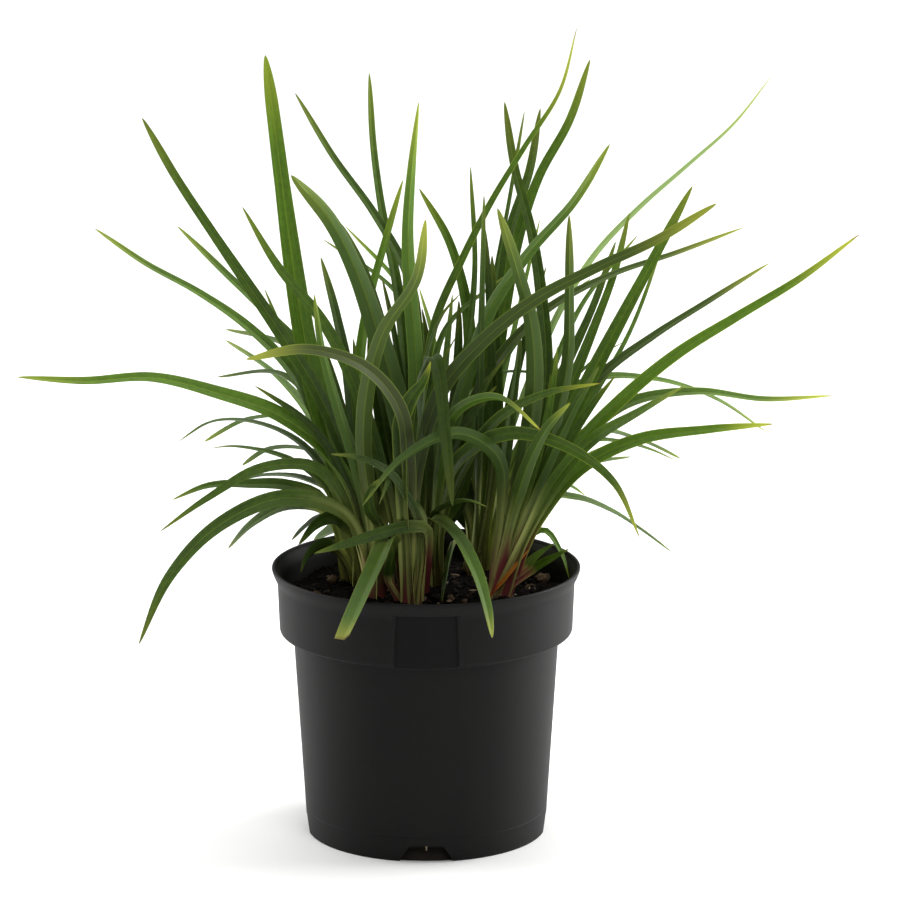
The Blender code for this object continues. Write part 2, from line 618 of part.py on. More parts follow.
def touch(first, second):
    """Whether two trees' surfaces meet."""
    for axis in range(3):
        if first[1][axis] > second[2][axis] or second[1][axis] > first[2][axis]:
            return False
    return bool(first[0].overlap(second[0]))


@dataclass
class Placed:
    """A leaf that has found its place."""

    leaf: Leaf
    shoot: Shoot
    curve: Curve
    sheath: tuple
    blade: tuple


def is_free(shoot, sheath, blade, placed, walls):
    """Whether a leaf keeps clear of the pot, the mix and all leaves; sheaths of one shoot may join."""
    if any(touch(blade, wall) for wall in walls) or touch(sheath, walls[0]):
        return False
    for other in placed:
        if touch(blade, other.blade) or touch(blade, other.sheath) or touch(sheath, other.blade):
            return False
        if other.shoot is not shoot and touch(sheath, other.sheath):
            return False
    return True


def settle(shoot, leaf, placed, walls):
    """Place a leaf as near as it can be to its own depth, where it touches no other."""
    shifts = [FOOT_STEP * step for step in range(-FOOT_STEPS, FOOT_STEPS + 1)]
    moves = [TIP_STEP * step for step in range(-TIP_STEPS, TIP_STEPS + 1)]
    trials = sorted((2.0 * abs(shift) + abs(move), shift, move) for shift in shifts for move in moves)
    for _, shift, move in trials:
        curve = leaf_curve(shoot, leaf, shift, leaf.depth + move)
        low = sheath_stops(curve)
        high = blade_stops(curve, leaf, sheath_end(curve) + GAP)
        sheath = tree(strip_mesh(curve, leaf, low, CLEARANCE))
        blade = tree(strip_mesh(curve, leaf, high, CLEARANCE))
        if is_free(shoot, sheath, blade, placed, walls):
            sheath = tree(strip_mesh(curve, leaf, low))
            blade = tree(strip_mesh(curve, leaf, high))
            return Placed(leaf, shoot, curve, sheath, blade)
    raise RuntimeError(f"no room for the leaf of shoot {SHOOTS.index(shoot) + 1} with path {leaf.path}")


def wall_tree(made):
    """The search tree of a finished object, in millimetres."""
    bm = bmesh.new()
    bm.from_object(made, bpy.context.evaluated_depsgraph_get())
    bmesh.ops.scale(bm, vec=(1 / MM, 1 / MM, 1 / MM), verts=bm.verts)
    return tree(bm)


def build_plant(parts, cutters, walls):
    """Place every leaf, from the front one to the back one, and make the blades and the shoots."""
    wanted = [(leaf.small, leaf.depth, number, leaf)
              for number, shoot in enumerate(SHOOTS) for leaf in shoot.leaves]
    placed = []
    for _, _, number, leaf in sorted(wanted, key=lambda row: row[:3]):
        placed.append(settle(SHOOTS[number], leaf, placed, walls))
    leaf_green = material("flax_lily_leaf", LEAF_COLOUR, 0.42)
    sheath_green = material("flax_lily_sheath", SHEATH_COLOUR, 0.5)
    for number, shoot in enumerate(SHOOTS, start=1):
        own = [item for item in placed if item.shoot is shoot]
        joined = new_collection(f"shoot_{number}_sheaths", cutters)
        core = bmesh.new()
        place = Matrix.Translation((*shoot.foot, MIX_HEIGHT))
        bmesh.ops.create_cone(core, cap_ends=True, segments=CORE_SIDES, radius1=CORE_FOOT_RADIUS,
                              radius2=CORE_TOP_RADIUS, depth=2 * ROOT_DEPTH, matrix=place)
        body = object_from(core, f"shoot_{number}", parts, sheath_green)
        count = 0
        for item in own:
            low = sheath_stops(item.curve)
            high = blade_stops(item.curve, item.leaf, sheath_end(item.curve) + GAP)
            if item.leaf.small:
                whole = strip_mesh(item.curve, item.leaf, low[:-1] + high)
                as_helper(object_from(whole, "small_leaf", joined))
                continue
            count += 1
            as_helper(object_from(strip_mesh(item.curve, item.leaf, low), "sheath", joined))
            blade = strip_mesh(item.curve, item.leaf, high)
            object_from(blade, f"shoot_{number}_leaf_{count}", parts, leaf_green)
        boolean(body, "UNION", collection=joined)


def main():
    """Clear the scene and build the potted plant."""
    for old in list(bpy.data.objects):
        bpy.data.objects.remove(old, do_unlink=True)
    parts = new_collection("potted_flax_lily")
    cutters = new_collection("cutters")
    pot = build_pot(parts, cutters)
    mix = build_mix(parts, cutters)
    bpy.context.view_layer.update()
    build_plant(parts, cutters, [wall_tree(pot), wall_tree(mix)])
    for made in parts.objects:
        made.data.shade_smooth()
        made.data.set_sharp_from_angle(angle=radians(40.0))


main()
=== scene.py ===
"""Potted flax lily in a nursery pot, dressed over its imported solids.

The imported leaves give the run, the width and the turn of every blade. This script reads them, draws each leaf
anew as one smooth keeled strap from the shoot's foot to its tip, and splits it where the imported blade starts.
The pot is turned again with its moulded detail, and the potting mix gets its crumbs, bark chips and grit.
Sizes are in millimetres until a mesh is finished.
"""

import logging
from collections.abc import Iterable, Sequence
from dataclasses import dataclass, field
from enum import Enum
from math import atan2, copysign, cos, exp, hypot, pi, radians, sin, tau
from random import Random
from statistics import median

import bmesh
import bpy
from bmesh.types import BMesh, BMVert
from bpy.types import ID, Material, Mesh, Node, NodeSocket, NodeTree, Object
from mathutils import Matrix, Vector, noise


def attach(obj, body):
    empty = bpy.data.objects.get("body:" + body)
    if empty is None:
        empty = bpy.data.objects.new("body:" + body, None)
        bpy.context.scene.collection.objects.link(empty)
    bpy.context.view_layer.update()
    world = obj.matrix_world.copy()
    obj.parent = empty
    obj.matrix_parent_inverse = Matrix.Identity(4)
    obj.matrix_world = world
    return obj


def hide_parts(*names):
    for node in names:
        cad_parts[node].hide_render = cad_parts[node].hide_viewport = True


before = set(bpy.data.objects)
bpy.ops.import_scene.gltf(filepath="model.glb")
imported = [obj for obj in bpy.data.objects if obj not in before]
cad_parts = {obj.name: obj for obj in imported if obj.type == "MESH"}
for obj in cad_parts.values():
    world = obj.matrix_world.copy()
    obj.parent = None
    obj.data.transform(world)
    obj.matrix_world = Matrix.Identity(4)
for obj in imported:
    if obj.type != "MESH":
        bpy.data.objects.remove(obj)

log = logging.getLogger("potted_flax_lily")
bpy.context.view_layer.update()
# A millimetre in metres, then a metre and a decimetre in millimetres.
MM = 0.001
METRE = 1000.0
DECIMETRE = 100.0
# The angles in degrees above which an edge of a leaf and of the pot stays sharp.
LEAF_SHARP, POT_SHARP = 70.0, 14.0

Colour = tuple[float, float, float, float]
Point = tuple[float, float]
Point3 = tuple[float, float, float]


def linear(code: str) -> Colour:
    """Turn an sRGB hex colour into linear light.

    Args:
        code: a colour such as "#2f4a1a".

    Returns:
        Red, green, blue and an alpha of one.
    """
    levels = [int(code[place:place + 2], 16) / 255.0 for place in (1, 3, 5)]
    red, green, blue = (level / 12.92 if level <= 0.04045 else ((level + 0.055) / 1.055) ** 2.4
                        for level in levels)
    return red, green, blue, 1.0


def ease(share: float) -> float:
    """Step smoothly from 0 to 1."""
    share = min(1.0, max(0.0, share))
    return share * share * (3.0 - 2.0 * share)


def feed(tree: NodeTree, node: Node, inputs: dict[int | str, object] | Sequence[object]) -> None:
    """Set and link the inputs of a node.

    Args:
        tree: the material's node tree.
        node: the node.
        inputs: for each socket, by name or in the sockets' order, a value, the socket that feeds it, or a
            node whose first output feeds it.
    """
    for key, value in inputs.items() if isinstance(inputs, dict) else enumerate(inputs):
        if isinstance(value, Node):
            value = value.outputs[0]
        if isinstance(value, NodeSocket):
            tree.links.new(value, node.inputs[key])
        else:
            node.inputs[key].default_value = value


def add(tree: NodeTree, kind: str, inputs: dict[int | str, object] | Sequence[object] = (),
        ramp: Sequence[tuple[float, str]] = (), **settings: object) -> Node:
    """Add one shader node with its settings and links.

    Args:
        tree: the material's node tree.
        kind: the node's type after "ShaderNode".
        inputs: what goes into its sockets, as feed takes it.
        ramp: the stops of a colour ramp, each a place and a hex colour.
        settings: other properties of the node.

    Returns:
        The new node.
    """
    node = tree.nodes.new("ShaderNode" + kind)
    for name, value in settings.items():
        setattr(node, name, value)
    if ramp:
        elements = node.color_ramp.elements
        while len(elements) < len(ramp):
            elements.new(0.5)
        for element, (place, code) in zip(elements, ramp):
            element.position = place
            element.color = linear(code)
    feed(tree, node, inputs)
    return node


def new_material(name: str) -> tuple[Material, NodeTree, Node]:
    """Make a node material.

    Args:
        name: the material's name.

    Returns:
        The material, its node tree and its Principled shader.
    """
    made = bpy.data.materials.new(name)
    made.use_nodes = True
    return made, made.node_tree, made.node_tree.nodes["Principled BSDF"]


@dataclass(frozen=True)
class MouldedPolypropylene:
    """Black polypropylene with carbon-black pigment, injection moulded in a lightly blasted tool.

    It is a dark grey with a satin sheen, a fine grain from the tool and faint upright flow marks.
    """

    name: str = "moulded_black_polypropylene"
    dark: str = "#070707"
    light: str = "#0d0d0c"
    roughness: float = 0.56
    roughness_spread: Point = (-0.05, 0.07)
    shine: float = 0.155
    grain_mm: float = 0.9
    flow_per_metre: Point3 = (60.0, 60.0, 9.0)

    def make(self) -> Material:
        """Build the material's nodes.

        Returns:
            The material.
        """
        made, tree, shader = new_material(self.name)
        place = add(tree, "TexCoord").outputs["Object"]
        flow = add(tree, "Mapping", {"Vector": place, "Scale": self.flow_per_metre})
        marks = add(tree, "TexNoise", {"Vector": flow, "Scale": 1.0, "Detail": 4.0})
        grain = add(tree, "TexNoise", {"Vector": place, "Scale": METRE / self.grain_mm, "Detail": 2.0})
        low, high = (self.roughness + change for change in self.roughness_spread)
        feed(tree, shader, {
            "Base Color": add(tree, "ValToRGB", (marks,), ramp=((0.35, self.dark), (0.7, self.light))),
            "Roughness": add(tree, "MapRange", (marks, 0.0, 1.0, low, high)),
            "Normal": add(tree, "Bump", {"Height": grain, "Strength": 0.12, "Distance": 0.0002}),
            "IOR": 1.49, "Specular IOR Level": self.shine})
        return made


@dataclass(frozen=True)
class CompostedBark:
    """Damp composted bark and peat: nearly black crumbs, matt, with brown fibre."""

    name: str = "damp_composted_bark"
    stops: tuple[tuple[float, str], ...] = ((0.35, "#030202"), (0.55, "#0a0705"), (0.75, "#1d140d"))
    crumb_mm: float = 2.4
    roughness: float = 0.95
    shine: float = 0.05

    def make(self) -> Material:
        """Build the material's nodes.

        Returns:
            The material.
        """
        made, tree, shader = new_material(self.name)
        place = add(tree, "TexCoord").outputs["Object"]
        crumbs = add(tree, "TexNoise", {"Vector": place, "Scale": METRE / self.crumb_mm, "Detail": 6.0,
                                        "Roughness": 0.7})
        feed(tree, shader, {
            "Base Color": add(tree, "ValToRGB", (crumbs,), ramp=self.stops),
            "Normal": add(tree, "Bump", {"Height": crumbs, "Strength": 0.8, "Distance": 0.0012}),
            "Roughness": self.roughness, "Specular IOR Level": self.shine})
        return made


@dataclass(frozen=True)
class Chip:
    """Loose pieces on the mix, each with a tone of its own between the colours of a ramp.

    Pine bark is split into flakes, brown on the broken side and grey on the weathered one. Grit is pale
    stone.
    """

    name: str
    colours: tuple[str, ...]
    grain_mm: float
    roughness: float
    shine: float
    grain_share: float = 0.45
    grain_offset: float = 0.22

    def make(self) -> Material:
        """Build the material's nodes.

        Returns:
            The material.
        """
        made, tree, shader = new_material(self.name)
        place = add(tree, "TexCoord").outputs["Object"]
        own = add(tree, "Attribute", attribute_name="tone").outputs["Fac"]
        fibre = add(tree, "TexNoise", {"Vector": place, "Scale": METRE / self.grain_mm, "Detail": 4.0})
        mixed = add(tree, "Math", (fibre, self.grain_share, own), operation="MULTIPLY_ADD")
        share = add(tree, "Math", (mixed, self.grain_offset), operation="SUBTRACT")
        last = len(self.colours) - 1
        stops = tuple((index / last, code) for index, code in enumerate(self.colours))
        feed(tree, shader, {
            "Base Color": add(tree, "ValToRGB", (share,), ramp=stops),
            "Normal": add(tree, "Bump", {"Height": fibre, "Strength": 0.5, "Distance": 0.0004}),
            "Roughness": self.roughness, "Specular IOR Level": self.shine})
        return made


# Each mask of the leaf: the readings between which it changes, and its strengths there, 0 and 1 if not given.
LEAF_MASKS: dict[str, tuple[float, ...]] = {
    # The mask read from a leaf's lightness, above 1.25, paints the glow of light through a pale leaf.
    "below": (0.0, 1.0, 0.6, 0.0), "browned": (0.0, -1.0), "backlit_glow": (1.25, 1.65, 0.0, 0.7),
    "rib": (0.01, 0.055, 0.24, 0.0), "rim": (0.42, 0.5, 0.0, 0.8), "pale": (0.118, 0.185, 1.0, 0.0),
    "closed": (0.02, 0.22, 1.0, 0.0), "stripe": (0.38, 0.62, 0.2, 0.95), "ripe": (0.76, 1.04),
    "scorched": (0.97, 1.0), "touched": (0.55, 0.95), "blush": (0.092, 0.124, 1.0, 0.0),
    # The mask read from "exposed" paints shade on the low leaves in the middle of the clump and light on the
    # high, outer ones.
    "uneven": (0.64, 0.4, 0.35, 0.95), "grown": (0.2, 0.4, 0.44, 1.44),
}
EASED_MASKS = ("pale", "ripe", "blush")


@dataclass(frozen=True)
class LeafCuticle:
    """Living strap leaf under a thin wax cuticle.

    It grew with parallel veins, a midrib and thin pale margins, deep green above and greyer below, with fine
    flecks. It turns yellow-green towards the tip, and a leaf with light behind it looks paler. Its foot, out
    of the light, is cream green, and crimson to purple at the mix. The real veins are under half a millimetre
    apart, too fine to show, so fewer and coarser ones are drawn: 11 across a blade some 10 mm wide. "veins" and
    "stripes" give how often their noise changes across a leaf, in a decimetre along it and with its lightness.

    The attribute "leaf" holds the place across, the share of the length, the height along the leaf in
    decimetres and the side; "tone" holds yellowness, lightness, tip colour and redness of the foot. The
    lightness is each leaf's own tone, darkened on some leaves as painted shade and raised on others as painted
    light. Painted shade also darkens the leaves low down and in the middle of the clump, and painted light
    lightens the high, outer ones. The paler look of a leaf with light behind it is a painted glow.
    """

    name: str = "living_strap_leaf"
    deep: str = "#2c400d"
    bright: str = "#5a7e1a"
    under: str = "#3e5a18"
    margin: str = "#86982f"
    tip: str = "#aab03a"
    burnt: str = "#6d4a1e"
    brown: str = "#43411b"
    cream: str = "#c8d079"
    crimson: str = "#84403f"
    # The next colour is the painted glow of light through a leaf lit from behind.
    thin: str = "#9db07c"
    veins: Point3 = (11.0, 2.2, 40.0)
    stripes: Point3 = (2.4, 0.6, 60.0)
    fleck_mm: float = 2.6
    patches_per_metre: float = 26.0
    freshness: Point3 = (0.7, 0.5, 0.6)
    least_edging: float = 0.14
    red_rise: float = 0.013
    out_weight: float = 1.5
    pale_lift: float = 0.36
    patch_depth: float = 0.5
    roughness: float = 0.44
    dull_veins: float = 0.16
    shine: float = 0.3

    def make(self) -> Material:
        """Build the material's nodes.

        Returns:
            The material.
        """
        made, tree, shader = new_material(self.name)
        leaf = add(tree, "Attribute", attribute_name="leaf")
        tone = add(tree, "Attribute", attribute_name="tone")
        across, along, height = add(tree, "SeparateColor", (leaf,)).outputs
        yellow, light, tipped = add(tree, "SeparateColor", (tone,)).outputs
        side, red = leaf.outputs["Alpha"], tone.outputs["Alpha"]
        place = add(tree, "TexCoord").outputs["Object"]
        level = add(tree, "SeparateXYZ", (place,)).outputs["Z"]
        lanes = add(tree, "CombineXYZ", (across, height, light))
        veins = add(tree, "Mapping", {"Vector": lanes, "Scale": self.veins})
        streak = add(tree, "TexNoise", {"Vector": veins, "Scale": 1.0, "Detail": 3.0, "Roughness": 0.6})
        bands = add(tree, "Mapping", {"Vector": lanes, "Scale": self.stripes})
        bands = add(tree, "TexNoise", {"Vector": bands, "Scale": 1.0, "Detail": 1.0})
        patch = add(tree, "TexNoise", {"Vector": place, "Scale": self.patches_per_metre, "Detail": 2.0})
        fleck = add(tree, "TexNoise", {"Vector": place, "Scale": METRE / self.fleck_mm, "Detail": 3.0})
        off = add(tree, "Math", (across, 0.5), operation="SUBTRACT")
        off = add(tree, "Math", (off,), operation="ABSOLUTE")
        low = add(tree, "Math", (red, -self.red_rise, level), operation="MULTIPLY_ADD")
        # Painted shade and light: "exposed" grows with the height and with the distance from the pot's axis, so
        # leaves low in the middle of the clump come out darker and high, outer ones lighter.
        flat = add(tree, "Mapping", {"Vector": place, "Scale": (1.0, 1.0, 0.0)})
        outside = add(tree, "VectorMath", (flat,), operation="LENGTH").outputs["Value"]
        exposed = add(tree, "Math", (outside, self.out_weight, level), operation="MULTIPLY_ADD")

        read = {"below": side, "browned": yellow, "backlit_glow": light, "rib": off, "rim": off, "pale": level,
                "closed": along, "stripe": bands, "ripe": along, "scorched": along, "touched": tipped,
                "blush": low, "uneven": bands, "grown": exposed}
        masks = {name: add(tree, "MapRange", (source, *LEAF_MASKS[name]),
                           interpolation_type="SMOOTHSTEP" if name in EASED_MASKS else "LINEAR")
                 for name, source in read.items()}
        edged = add(tree, "Math", (tipped, tipped, self.least_edging), operation="MULTIPLY_ADD",
                    use_clamp=True)
        for name, *others in (("rim", edged), ("pale", masks["closed"], masks["stripe"]),
                              ("ripe", tipped), ("scorched", masks["touched"]),
                              ("blush", masks["closed"], masks["uneven"], red)):
            for other in others:
                masks[name] = add(tree, "Math", (masks[name], other), operation="MULTIPLY", use_clamp=True)

        streak_share, fleck_share, threshold = self.freshness
        fresh = add(tree, "Math", (streak, streak_share, yellow), operation="MULTIPLY_ADD")
        fresh = add(tree, "Math", (fleck, fleck_share, fresh), operation="MULTIPLY_ADD")
        masks["fresh"] = add(tree, "Math", (fresh, threshold), operation="SUBTRACT", use_clamp=True)
        green = linear(self.deep)
        # The mask read from the lightness mixes in the painted glow of light through a leaf.
        for name, code in (("fresh", self.bright), ("below", self.under), ("browned", self.brown),
                           ("backlit_glow", self.thin), ("rib", self.margin), ("rim", self.margin),
                           ("pale", self.cream), ("ripe", self.tip), ("scorched", self.burnt),
                           ("blush", self.crimson)):
            green = add(tree, "MixRGB", (masks[name], green, linear(code)))
        # The shade below is painted light and shade: the mask read from "exposed" darkens low leaves in the
        # middle of the clump and lightens high, outer ones, the cream foot is lifted out of that painted shade,
        # the noise patches vary it at random, and each leaf's lightness scales it.
        shade = add(tree, "Math", (masks["pale"], self.pale_lift, masks["grown"]), operation="MULTIPLY_ADD")
        shade = add(tree, "Math", (patch, self.patch_depth, shade), operation="MULTIPLY_ADD")
        shade = add(tree, "Math", (shade, light), operation="MULTIPLY")
        dull = add(tree, "Math", (streak, self.dull_veins, self.roughness), operation="MULTIPLY_ADD")
        feed(tree, shader, {
            "Base Color": add(tree, "MixRGB", (1.0, green, shade), blend_type="MULTIPLY"),
            "Roughness": dull,
            "Normal": add(tree, "Bump", {"Height": streak, "Strength": 0.2, "Distance": 0.0003}),
            "IOR": 1.42, "Specular IOR Level": self.shine})
        return made


def placed(name: str, data: ID) -> Object:
    """Make an object of some data and put it in the scene.

    Args:
        name: its name.
        data: its mesh, camera or light.

    Returns:
        The object.
    """
    made = bpy.data.objects.new(name, data)
    bpy.context.scene.collection.objects.link(made)
    return made


def mesh_of(bm: BMesh, name: str = "passing") -> Mesh:
    """Write a bmesh, which is used up, to a new mesh.

    Args:
        bm: the shape, which is used up.
        name: the mesh's name.

    Returns:
        The mesh.
    """
    mesh = bpy.data.meshes.new(name)
    bm.to_mesh(mesh)
    bm.free()
    return mesh


def finished(bm: BMesh, name: str, finish: Material, sharp: float = 40.0) -> Object:
    """Turn a bmesh in millimetres into a piece of the object.

    Args:
        bm: the shape, which is used up.
        name: the piece's name.
        finish: its material.
        sharp: the angle in degrees above which an edge stays sharp.

    Returns:
        The new object, riding on the one body.
    """
    bmesh.ops.recalc_face_normals(bm, faces=bm.faces)
    bmesh.ops.scale(bm, vec=(MM, MM, MM), verts=bm.verts)
    mesh = mesh_of(bm, name)
    mesh.materials.append(finish)
    mesh.shade_smooth()
    mesh.set_sharp_from_angle(angle=radians(sharp))
    made = placed(name, mesh)
    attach(made, "root")
    return made


def packed(node: str) -> BMesh:
    """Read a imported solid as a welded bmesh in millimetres.

    Args:
        node: the name of the solid's node.

    Returns:
        A new bmesh.
    """
    bm = bmesh.new()
    bm.from_mesh(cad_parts[node].data)
    bmesh.ops.remove_doubles(bm, verts=bm.verts, dist=1e-6)
    bmesh.ops.scale(bm, vec=(1 / MM, 1 / MM, 1 / MM), verts=bm.verts)
    return bm


class Tone(Enum):
    """How a leaf is coloured: yellowness, lightness and how yellow its tip is."""

    DEEP = (0.08, 0.82, 0.2)
    MID = (0.3, 0.95, 0.3)
    FRESH = (0.6, 1.1, 0.45)
    LIME = (0.5, 0.98, 0.95)
    OLIVE = (-0.12, 0.95, 0.5)
    BROWN = (-0.32, 0.95, 0.5)
    # PALE's lightness of 1.5 gives the leaf the painted glow of light through it.
    PALE = (0.3, 1.5, 0.4)
    PALE_TIP = (0.25, 1.1, 0.95)
    CUT = (0.85, 0.66, 0.8)
    SHADED = (0.3, 0.44, 0.2)
    DIM_BROWN = (-0.36, 0.78, 0.6)
    DUSK = (-0.16, 0.82, 0.28)
    SUNLIT = (0.36, 1.12, 0.3)
    GREY = (0.15, 1.0, 0.2)
    GOLD_TIP = (0.35, 0.85, 1.0)


@dataclass(frozen=True)
class Look:
    """What sets one leaf apart: its tone, its width, the length of its point and how far back its foot is.

    "flat" is the share by which the blade is turned to face forwards, and "edge" the share by which its
    rising part is turned on edge.
    """

    tone: Tone
    width: float = 1.0
    point: float = 24.0
    back: float = 0.0
    flat: float = 0.0
    edge: float = 0.0


# The looks that the picture gives, by the numbers of the shoot and the leaf.
LOOKS: dict[str, Look] = {
    "1_1": Look(Tone.CUT, 1.3, flat=0.25), "1_2": Look(Tone.BROWN), "1_3": Look(Tone.GREY, point=45.0),
    "1_4": Look(Tone.MID), "1_5": Look(Tone.MID, point=50.0), "1_6": Look(Tone.SUNLIT, point=36.0),
    "1_7": Look(Tone.DEEP), "1_8": Look(Tone.FRESH), "2_1": Look(Tone.DIM_BROWN),
    "2_2": Look(Tone.OLIVE, 0.94), "2_3": Look(Tone.SHADED, 1.2, back=4.0, flat=0.85, edge=0.9),
    "2_4": Look(Tone.MID, 0.88, back=9.0), "2_5": Look(Tone.GREY, point=45.0),
    "2_6": Look(Tone.PALE_TIP, 0.7, 70.0), "3_1": Look(Tone.CUT, 1.3, flat=0.4),
    "3_2": Look(Tone.GOLD_TIP, point=60.0), "3_3": Look(Tone.GOLD_TIP, point=20.0),
    "3_4": Look(Tone.GOLD_TIP, point=60.0), "3_5": Look(Tone.DEEP, 1.5),
    "3_6": Look(Tone.FRESH, point=60.0), "3_7": Look(Tone.MID), "3_8": Look(Tone.DEEP),
    "3_9": Look(Tone.OLIVE, point=32.0), "3_10": Look(Tone.GREY), "4_1": Look(Tone.MID, point=60.0),
    "4_2": Look(Tone.DEEP, point=50.0), "4_3": Look(Tone.OLIVE), "4_4": Look(Tone.DUSK),
    "4_5": Look(Tone.LIME, point=36.0), "4_7": Look(Tone.LIME, 0.82, 45.0), "4_8": Look(Tone.DUSK),
    "4_9": Look(Tone.GOLD_TIP, point=36.0), "4_10": Look(Tone.MID), "4_12": Look(Tone.OLIVE, point=34.0),
    "5_1": Look(Tone.MID), "5_5": Look(Tone.PALE, 0.9, 85.0), "5_6": Look(Tone.DEEP, 1.25),
    "5_8": Look(Tone.MID, 1.4, 15.0), "6_2": Look(Tone.SUNLIT, 1.26), "6_4": Look(Tone.DEEP),
    "6_5": Look(Tone.GREY, 1.25, 26.0), "6_6": Look(Tone.DEEP),
}


@dataclass(frozen=True)
class YoungLeaf:
    """A young leaf in the middle of the plant: its shoot, width, middle line and how yellow its tip is."""

    shoot: int
    width: float
    points: tuple[Point3, ...]
    tipped: float = 0.2


YOUNG_LEAVES: tuple[YoungLeaf, ...] = (
    YoungLeaf(3, 9.0, ((-12, 18, 140), (-15, 18, 159), (-18, 18, 178), (-21, 18, 194), (-24, 18, 210),
                       (-26, 18, 226))),
    YoungLeaf(3, 9.0, ((-10, 24, 148), (-11, 24, 167), (-13, 24, 186), (-15, 24, 202), (-17, 24, 218))),
    YoungLeaf(6, 8.0, ((-21, 30, 132), (-21, 30, 149), (-20, 30, 170), (-17, 30, 194), (-14, 30, 217))),
    YoungLeaf(6, 7.0, ((-25, 30, 138), (-26, 30, 158), (-28, 31, 178), (-31, 32, 205), (-33, 32, 222))),
    YoungLeaf(3, 7.0, ((6, 26, 138), (10, 26, 157), (12, 26, 180), (14, 26, 204), (15, 26, 227),
                       (15, 26, 241))),
    YoungLeaf(5, 9.0, ((22, 38, 134), (18, 38, 149), (14, 38, 168), (10, 38, 186), (8, 38, 196))),
    YoungLeaf(5, 7.0, ((31, 30, 161), (32, 30, 184), (32, 30, 208), (31, 30, 235), (30, 30, 261))),
    YoungLeaf(3, 7.0, ((5, 20, 137), (10, 20, 142), (15, 20, 151), (20, 20, 165), (23, 20, 182))),
    YoungLeaf(5, 6.0, ((33, 36, 145), (36, 36, 164), (39, 36, 187), (42, 36, 211), (43, 36, 225))),
    YoungLeaf(3, 8.5, ((-14, 12, 179), (-16, 12, 198), (-18, 12, 221), (-22, 12, 238), (-27, 12, 255),
                       (-33, 12, 269), (-38, 12, 279))),
    YoungLeaf(5, 5.5, ((31, 24, 162), (31, 24, 186), (30, 24, 218), (29, 24, 241), (28, 24, 260),
                       (27, 24, 274))),
    YoungLeaf(1, 6.0, ((-28, 14, 141), (-31, 14, 160), (-35, 14, 179), (-39, 14, 197), (-42, 14, 209),
                       (-45, 14, 220))),
    YoungLeaf(5, 7.0, ((22, 44, 129), (18, 44, 134), (15, 44, 139), (12, 44, 148), (11, 44, 157))),
    YoungLeaf(3, 7.0, ((5, 30, 130), (8, 30, 135), (12, 30, 139), (17, 30, 146), (20, 30, 156))),
    YoungLeaf(2, 8.0, ((-11.6, -40, 194.6), (-10.3, -41, 201.3), (-8.0, -41, 207.7), (-4.9, -42, 213.0),
                       (-1.7, -42, 217.1), (0.5, -42, 221.7), (2.2, -42, 227.4)), 0.9),
)


def square(way: Vector, heading: Vector) -> Vector:
    """Return the unit direction square to a heading that is nearest to a way."""
    return (way - heading * way.dot(heading)).normalized()


def like(way: Vector, other: Vector) -> Vector:
    """Return a way or its opposite, whichever goes more like another."""
    return -way if way.dot(other) < 0.0 else way


@dataclass
class Ring:
    """One section of a packed leaf: its midrib, the directions across and up, and the width."""

    middle: Vector
    across: Vector
    up: Vector
    width: float


class Spline:
    """A smooth run of vectors through knots, each part a cubic."""

    def __init__(self, knots: Sequence[float], values: Sequence[Vector]) -> None:
        """Work out the slope at each knot.

        Args:
            knots: rising distances.
            values: a vector for each.
        """
        self.knots, self.values = list(knots), list(values)
        last = len(knots) - 1
        self.slopes = []
        for place in range(last + 1):
            before, after = max(0, place - 1), min(last, place + 1)
            self.slopes.append((values[after] - values[before]) / (knots[after] - knots[before]))

    def at(self, distance: float) -> Vector:
        """Return the vector at a distance.

        Args:
            distance: the distance along the run, held between the first knot and the last.

        Returns:
            The vector there.
        """
        distance = min(self.knots[-1], max(self.knots[0], distance))
        place = max(index for index in range(len(self.knots) - 1) if self.knots[index] <= distance)
        span = self.knots[place + 1] - self.knots[place]
        u = (distance - self.knots[place]) / span
        first, second = self.values[place], self.values[place + 1]
        leave, arrive = self.slopes[place] * span, self.slopes[place + 1] * span
        return ((2 * u**3 - 3 * u**2 + 1) * first + (u**3 - 2 * u**2 + u) * leave
                + (3 * u**2 - 2 * u**3) * second + (u**3 - u**2) * arrive)

    def direction(self, distance: float) -> Vector:
        """Return the unit direction in which the run goes on."""
        return (self.at(distance + 0.5) - self.at(distance - 0.5)).normalized()


